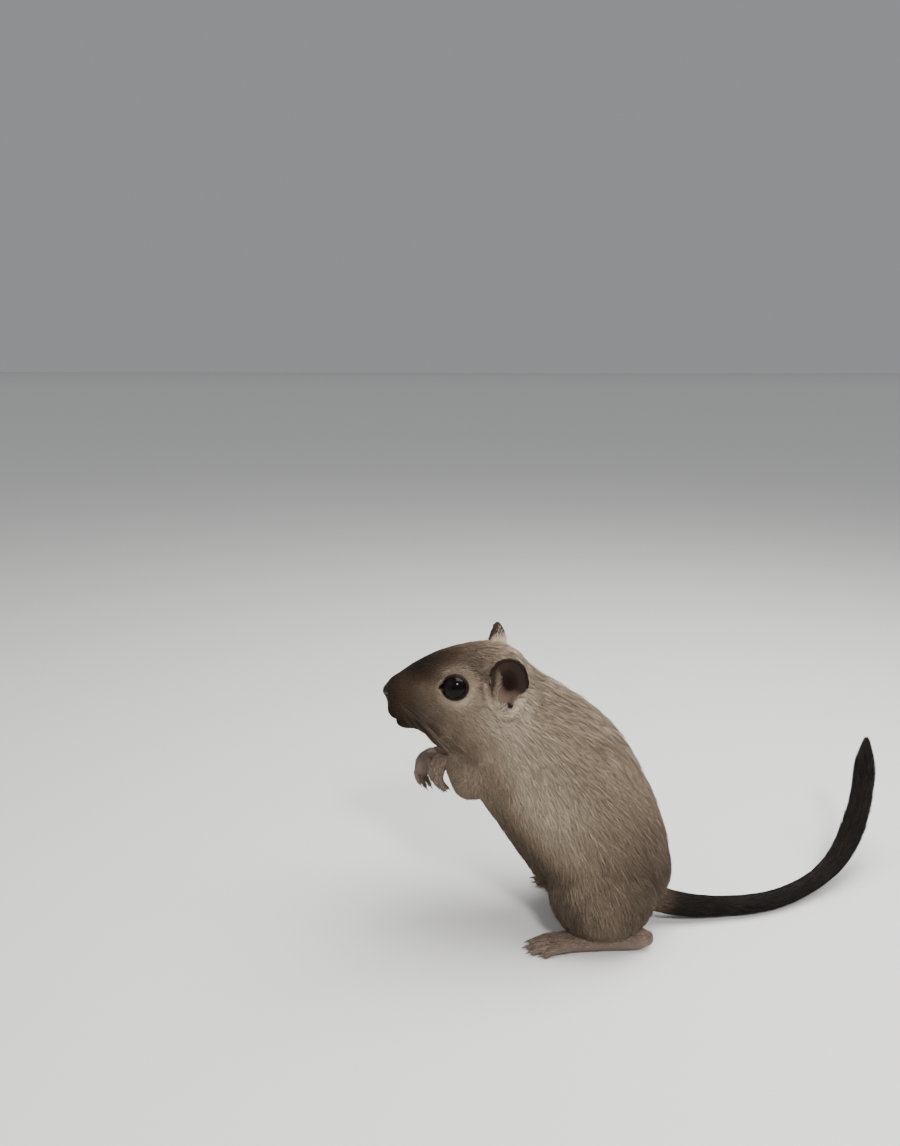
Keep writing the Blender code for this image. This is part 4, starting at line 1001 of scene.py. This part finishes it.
draw = np.random.default_rng(19)
run = tail_length * draw.random(HAIRS) ** 0.92
turn = 2 * math.pi * draw.random(HAIRS)
share = run / tail_length
hair_lengths = (4.2 + 6.2 * step(0.42, 0.75, share)) * (0.8 + 0.4 * draw.random(HAIRS))
past = tail_length - run + TUFT_PAST_END * (0.55 + 0.45 * draw.random(HAIRS) ** 0.5)
hair_lengths = np.minimum(hair_lengths, past)
skin_radius = np.interp(share, *np.array(TAIL_RADII).T)
lift = (0.55 + 1.15 * step(0.45, 0.72, share) * step(1.06, 0.86, share)) * (0.65 + 0.6 * draw.random(HAIRS))
sway = 0.30 * draw.standard_normal(HAIRS)
hair_widths = (0.17 + 0.05 * step(0.4, 0.7, share)) * (0.8 + 0.4 * draw.random(HAIRS))
u = np.linspace(0.0, 1.0, PARTS + 1)
far = run[:, None] + hair_lengths[:, None] * u
over_end = np.clip((far - tail_length + 2.5) / 9.0, 0.0, 1.0)
out = (skin_radius[:, None] - 0.15) * (1 - 0.25 * u) + lift[:, None] * (1.9 * u - 0.75 * u**2)
middles = tail_point(far, turn[:, None] + sway[:, None] * u, out * (1 - 0.8 * over_end))
outward = unit(middles - tail_point(far, turn[:, None], np.zeros_like(far)))
from_rump = np.linalg.norm(tail_point(run, turn, skin_radius) - TAIL_ROUTE[0], axis=1)
black = np.clip(0.98 - 0.62 * step(9.0, 3.0, from_rump) + 0.04 * draw.standard_normal(HAIRS), 0.0, 1.0)
dressed(
    "coat_tail",
    blades(middles, outward, hair_widths, u),
    (black, np.zeros(HAIRS), np.full(HAIRS, 0.3)),
    0.3 * draw.standard_normal(HAIRS),
    np.stack([0.01 + 0.98 * turn / (2 * math.pi), 0.01 + 0.98 * share], axis=1),
)

# The paws and hind feet: brownish pink skin with fine creases over knuckles and pads, one melted form
# each, with short pale hair on their backs and dark curved claws of horn set into the tips of the toes.
PALM = [(-39.0, -7.6, 47.3, 2.0), (-41.2, -7.0, 47.2, 2.3)]
PALM += [(-42.7, -6.7, 45.4, 2.6), (-43.1, -6.6, 43.3, 2.4)]
PALM_FLATNESS, HAND_TURN = 0.66, math.radians(42.0)
FINGER_LENGTHS, FINGER_RADIUS, FINGER_SPACING, FINGER_CLAW = (3.9, 4.8, 4.7, 3.7), 0.68, 1.32, 1.3
SOLE = [(12.2, -14.2, 2.9, 1.6, 1.9), (9.4, -14.4, 3.1, 2.5, 3.0), (2.0, -14.9, 3.0, 2.9, 3.2)]
SOLE += [(-5.0, -15.6, 2.5, 3.2, 2.7), (-10.0, -16.2, 2.0, 3.5, 2.2)]
TOE_ROOTS, TOE_RADIUS, TOE_CLAW, FOOT_SPLAY = np.array([-9.2, -16.2, 1.75]), 0.95, 2.2, math.radians(7.0)
TOES = ((-2.7, 5.2), (-1.45, 8.2), (-0.1, 9.0), (1.3, 8.3), (2.6, 5.8))
FOOT_BACK = {1: 0.0, -1: 2.0}
PAW_BROWN, PAW_PINK, PAW_SHADE = (0.088, 0.056, 0.042), (0.165, 0.115, 0.088), (0.085, 0.054, 0.042)
HORN_DARK, HORN_PALE = (0.07, 0.05, 0.04), (0.17, 0.13, 0.10)


def tube(rows, sides, rings, across, flatness=1.0, caps=(0.95, 0.75, 0.45)):
    """A tube with round ends through rows of centre and radius (width and height where there are two)."""
    rows, _ = even_route(rows, rings)
    along = unit(np.gradient(rows[:, :3], axis=0))
    side = unit(across - along * (along @ across)[:, None])
    up = np.cross(side, along)
    wide, high = rows[:, 3], rows[:, -1] * flatness
    caps = np.array(caps)
    size = np.sqrt(1 - caps**2)
    centre = np.vstack([rows[0, :3] - along[0] * (wide[0] * caps)[:, None], rows[:, :3]])
    centre = np.vstack([centre, rows[-1, :3] + along[-1] * (wide[-1] * caps[::-1])[:, None]])
    at = np.concatenate([np.zeros(len(caps), int), np.arange(rings), np.full(len(caps), rings - 1)])
    grow = np.concatenate([size, np.ones(rings), size[::-1]])
    turn = np.linspace(0, 2 * math.pi, sides, endpoint=False)
    ring = side[at][:, None] * np.cos(turn)[None, :, None] * (wide[at] * grow)[:, None, None]
    ring = ring + up[at][:, None] * np.sin(turn)[None, :, None] * (high[at] * grow)[:, None, None]
    return closed_rings(centre[:, None] + ring)


def digit(root, way, length, radius, down, drop, sides=14):
    """A toe or finger: a tube with two knuckles that runs along its way and curls down at its end."""
    share = np.linspace(-0.2, 1.0, 9)
    bent = np.maximum(share, 0.0)
    fall = drop * bent**2 - 0.35 * np.sin(np.pi * bent)
    centre = root + way * (length * share)[:, None] + down * fall[:, None]
    knuckles = 1.0 + 0.10 * bell(share - 0.38, 0.13) + 0.12 * bell(share - 0.74, 0.12) - 0.16 * bent
    rows = np.column_stack([centre, radius * knuckles])
    return tube(rows, sides, 20, np.cross(way, down)), centre[-1], unit(centre[-1] - centre[-2])


def claw(root, way, length, radius, down):
    """A claw: a cone that narrows to a point as it bends down."""
    share = np.linspace(-0.45, 1.0, 8)
    fall = 0.36 * length * np.maximum(share, 0) ** 2
    centre = root + way * (length * share)[:, None] + down * fall[:, None]
    rows = np.column_stack([centre, radius * (1.0 - 0.93 * np.maximum(share, 0.0) ** 1.2)])
    return tube(rows, 8, 10, np.cross(way, down), caps=(0.6,))


paw_finish = Finish("paw_skin", 0.55, Specular_IOR_Level=0.35)
cells = {"Scale": 2600.0, "Vector": paw_finish.node("ShaderNodeTexCoord", output=3)}
creases = paw_finish.node("ShaderNodeTexVoronoi", {"feature": "DISTANCE_TO_EDGE"}, cells)
blotch = paw_finish.noise(700.0)
flesh = paw_finish.mix(blotch, PAW_BROWN, PAW_PINK)
paw_finish.colour(paw_finish.mix(paw_finish.read("shade") * 0.8, flesh, PAW_SHADE))
paw_finish.bump(creases, 0.5, 0.00012)
claw_finish = Finish("claw_horn", 0.28)
claw_finish.colour(claw_finish.mix(claw_finish.noise(1800.0), HORN_DARK, HORN_PALE))


def hand(side):
    """A forepaw that hangs from the wrist, its fingers curled in, and its claws."""
    mirror = np.array([1.0, side, 1.0])
    palm = np.array(PALM)
    palm[:, :3] = palm[:, :3] * mirror + HAND_SHIFT[side]
    across = np.array([-math.sin(HAND_TURN), math.cos(HAND_TURN), 0.0]) * mirror
    inwards = np.array([math.cos(HAND_TURN), math.sin(HAND_TURN), 0.0]) * mirror
    pieces, claws = [tube(palm, 20, 16, across, PALM_FLATNESS)], []
    for i, length in enumerate(FINGER_LENGTHS):
        spread = (i - 1.5) * FINGER_SPACING
        root = palm[-1, :3] + across * spread + UP * 0.3 * abs(i - 1.5)
        way = unit(across * 0.28 * spread / length - UP)
        made, tip, ahead = digit(root, way, length, FINGER_RADIUS, inwards, 0.40 * length)
        pieces.append(made)
        claws.append(claw(tip, ahead, FINGER_CLAW, 0.30, unit(inwards - 0.4 * UP)))
    thumb = palm[1, :3] + inwards * 1.3 + across * 1.2 - UP
    pieces.append(ball_grid(thumb, np.eye(3), (0.8, 0.8, 1.1), 14, 8))
    return pieces, claws, 0.2


def hind(side):
    """A long hind foot flat on the floor, with five toes, and its claws."""
    mirror, back = np.array([1.0, side, 1.0]), np.array([FOOT_BACK[side], 0.0, 0.0])
    sole = np.array(SOLE)
    sole[:, :3] = sole[:, :3] * mirror + back
    pieces, claws = [tube(sole, 24, 30, np.array([0.0, 1.0, 0.0]))], []
    for spread, length in TOES:
        root = (TOE_ROOTS + (0.0, spread, 0.0)) * mirror + back
        splay = (FOOT_SPLAY - 0.085 * spread) * side
        way = np.array([-math.cos(splay), -math.sin(splay), 0.0])
        made, tip, _ = digit(root, way, length, TOE_RADIUS, -UP, 0.75)
        pieces.append(made)
        claws.append(claw(tip + 0.22 * UP, unit(way + 0.16 * UP), TOE_CLAW, 0.44, -UP))
    return pieces, claws, 0.24


for node, side, shape in (
    ("forepaw_left", 1, hand),
    ("forepaw_right", -1, hand),
    ("hind_foot_left", 1, hind),
    ("hind_foot_right", -1, hind),
):
    pieces, claws, voxel = shape(side)
    form = melted(node, pieces, voxel)
    form_points, _ = vertex_arrays(form)
    form_points = evened(form_points, edge_array(form), np.ones(len(form_points)), 5)
    form_points[:, 2] = np.maximum(form_points[:, 2], 0.0)
    triangulated(form)
    form_faces = triangle_array(form)
    paw = mesh_object(node + "_skin", form_points, form_faces)
    _, form_normals = vertex_arrays(paw.data)
    height, low = form_points[:, 2], form_points[:, 2].min()
    attributes(paw, shade=0.5 * step(1.6, 0.2, height - low))
    paw.data.materials.append(paw_finish.material)
    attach(paw, "root")
    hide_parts(node)
    nails = mesh_object(node + "_claws", *joined(claws))
    nails.data.materials.append(claw_finish.material)
    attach(nails, "root")

    tri_normals = unit(form_normals[form_faces].sum(axis=1))
    tri_middle = form_points[form_faces].mean(axis=1)
    if shape is hand:
        lie_of, facing = -UP, unit(np.array([-math.cos(HAND_TURN), -side * math.sin(HAND_TURN), 0.35]))
        bare_tips = 0.12 + 0.88 * step(0.5, 1.9, (tri_middle[:, 2] - low) / 3.0)
        longest, paleness = 1.0, 0.30
    else:
        lie_of, facing = np.array([-1.0, 0.0, 0.0]), UP
        bare_tips = 0.35 + 0.65 * step(0.2, 1.6, (tri_middle[:, 0] + 15.0) / 3.0)
        longest, paleness = 1.2, 0.34
    furred = step(-0.15, 0.45, tri_normals @ facing) * bare_tips
    tri, weights = scattered(form_points, form_faces, 17.0 * furred, draw)
    paw_roots, paw_ups = (blended(values, tri, weights) for values in (form_points, form_normals))
    paw_ups = unit(paw_ups)
    paw_ways = lie_of + 0.16 * draw.standard_normal((len(paw_roots), 3))
    paw_ways = unit(paw_ways - paw_ups * np.sum(paw_ways * paw_ups, axis=1)[:, None])
    paw_lengths = longest * (0.7 + 0.6 * draw.random(len(paw_roots)))
    u = np.linspace(0.0, 1.0, 3)
    rise = paw_lengths[:, None] * 0.13 * u * (1.5 - 0.9 * u) - 0.06 * (u == 0)
    middles = paw_roots[:, None] + paw_ways[:, None] * (paw_lengths[:, None] * u)[:, :, None]
    middles = middles + paw_ups[:, None] * rise[:, :, None]
    outward = np.repeat(paw_ups[:, None], 3, axis=1)
    count = len(paw_roots)
    round_paw = np.arctan2(*(paw_roots - form_points.mean(axis=0))[:, :2].T)
    up_paw = 0.02 + 0.96 * (paw_roots[:, 2] - low) / np.ptp(height)
    places = np.stack([0.5 + 0.48 * round_paw / math.pi, up_paw], axis=1)
    marks = (np.full(count, 0.04), np.full(count, 0.15), np.full(count, paleness))
    tufts = blades(middles, outward, 0.055 * (0.8 + 0.5 * draw.random(count)), u)
    dressed(f"coat_{node}", tufts, marks, 0.9 * draw.standard_normal(count), places)

# The whiskers: long fine tapered hairs in rows on the pads of the upper lip, with a few over the eye and on
# the cheek, dark at their roots and paler outwards.
WHISKER_DARK, WHISKER_PALE = (0.03, 0.022, 0.018), (0.20, 0.165, 0.13)
whisker_finish = Finish("whisker_hair", 0.4, Specular_IOR_Level=0.3)
whisker_finish.colour(whisker_finish.mix(whisker_finish.read("along"), WHISKER_DARK, WHISKER_PALE))
draw = np.random.default_rng(5)
strands, strand_along = [], []
for side in SIDES:
    rows = [(4.4 + 1.35 * c + 0.3 * r, 3.2 + 0.42 * c, -2.3 - 1.1 * r) for r in range(4) for c in range(4)]
    lengths_of = [7.0 + 4.2 * c - 0.8 * r for r in range(4) for c in range(4)]
    rows += [(16.4, 6.2, 8.4), (17.6, 6.6, 8.8), (24.0, 10.0, -4.0)]
    lengths_of += [4.0, 4.5, 7.0]
    for (behind, left, above), length in zip(rows, lengths_of):
        root = head_place(behind, left * side, above)
        near = np.linalg.norm(skin_surface - root, axis=1).argmin()
        root = skin_surface[near] - skin_normals[near] * 0.25
        way = head_way(0.62 + 0.03 * behind, side * 1.00, -0.04 + 0.06 * above)
        way = unit(way + skin_normals[near] * 0.35 + 0.08 * draw.standard_normal(3))
        length *= 0.9 + 0.2 * draw.random()
        share = np.linspace(0.0, 1.0, 7)
        bend = (HEAD_BACK * 0.20 - UP * 0.16) * length
        centre = root + way * (length * share)[:, None] + bend * (share**2)[:, None]
        rows_of = np.column_stack([centre, 0.048 - 0.038 * share])
        strand = tube(rows_of, 4, 8, np.cross(way, UP), caps=(0.6,))
        strands.append(strand)
        strand_along.append(np.clip((strand[0] - root) @ way / length, 0, 1))
whiskers = mesh_object("whiskers", *joined(strands))
attributes(whiskers, along=np.concatenate(strand_along))
whiskers.data.materials.append(whisker_finish.material)
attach(whiskers, "root")

# Where it stands: a plain pale floor, soft studio light from above and from the left under an even sky,
# and the camera of the picture, placed in millimetres of the plan.
FLOOR_COLOUR, SKY_COLOUR, SKY_STRENGTH = (0.70, 0.69, 0.67, 1.0), (0.86, 0.89, 0.93, 1.0), 0.33
FLOOR_REACH, LIGHTS_AIM = 8.0, (0.0, 0.0, 0.04)
CAMERA_PLACE, CAMERA_DOWN, CAMERA_TURN, CAMERA_LENS = (-21.3, -249.7, 150.6), 12.37, 4.29, 31.41
floor_finish = Finish("floor_plain", 0.9, Base_Color=FLOOR_COLOUR)
corners = FLOOR_REACH * np.array([(-1, -1, 0), (1, -1, 0), (1, 1, 0), (-1, 1, 0)])
floor = plain_object("floor", corners, [(0, 1, 2, 3)])
floor.data.materials.append(floor_finish.material)
world = bpy.data.worlds.new("studio")
world.use_nodes = True
world.node_tree.nodes["Background"].inputs["Color"].default_value = SKY_COLOUR
world.node_tree.nodes["Background"].inputs["Strength"].default_value = SKY_STRENGTH
bpy.context.scene.world = world
for name, place, size, power in (
    ("key", (0.08, -0.42, 0.42), 0.09, 2.4),
    ("above", (0.10, 0.04, 0.42), 0.36, 3.6),
    ("ceiling", (0.0, 0.0, 4.0), 15.0, 135.0),
    ("fill", (-0.55, -0.30, 0.30), 0.60, 0.8),
):
    light = bpy.data.lights.new(name, "AREA")
    light.size, light.energy = size, power
    lamp = bpy.data.objects.new(name, light)
    lamp.location = place
    aim = Vector(np.array(LIGHTS_AIM) - np.array(place))
    lamp.rotation_euler = aim.to_track_quat("-Z", "Y").to_euler()
    bpy.context.scene.collection.objects.link(lamp)
lens = bpy.data.cameras.new("camera")
lens.sensor_fit, lens.sensor_width, lens.lens = "AUTO", 36.0, CAMERA_LENS
camera = bpy.data.objects.new("camera", lens)
camera.location = in_row(np.array(CAMERA_PLACE))
camera.rotation_euler = (math.radians(90.0 - CAMERA_DOWN), 0.0, math.radians(CAMERA_TURN))
lens.clip_start = 0.01
bpy.context.scene.collection.objects.link(camera)
bpy.context.scene.camera = camera
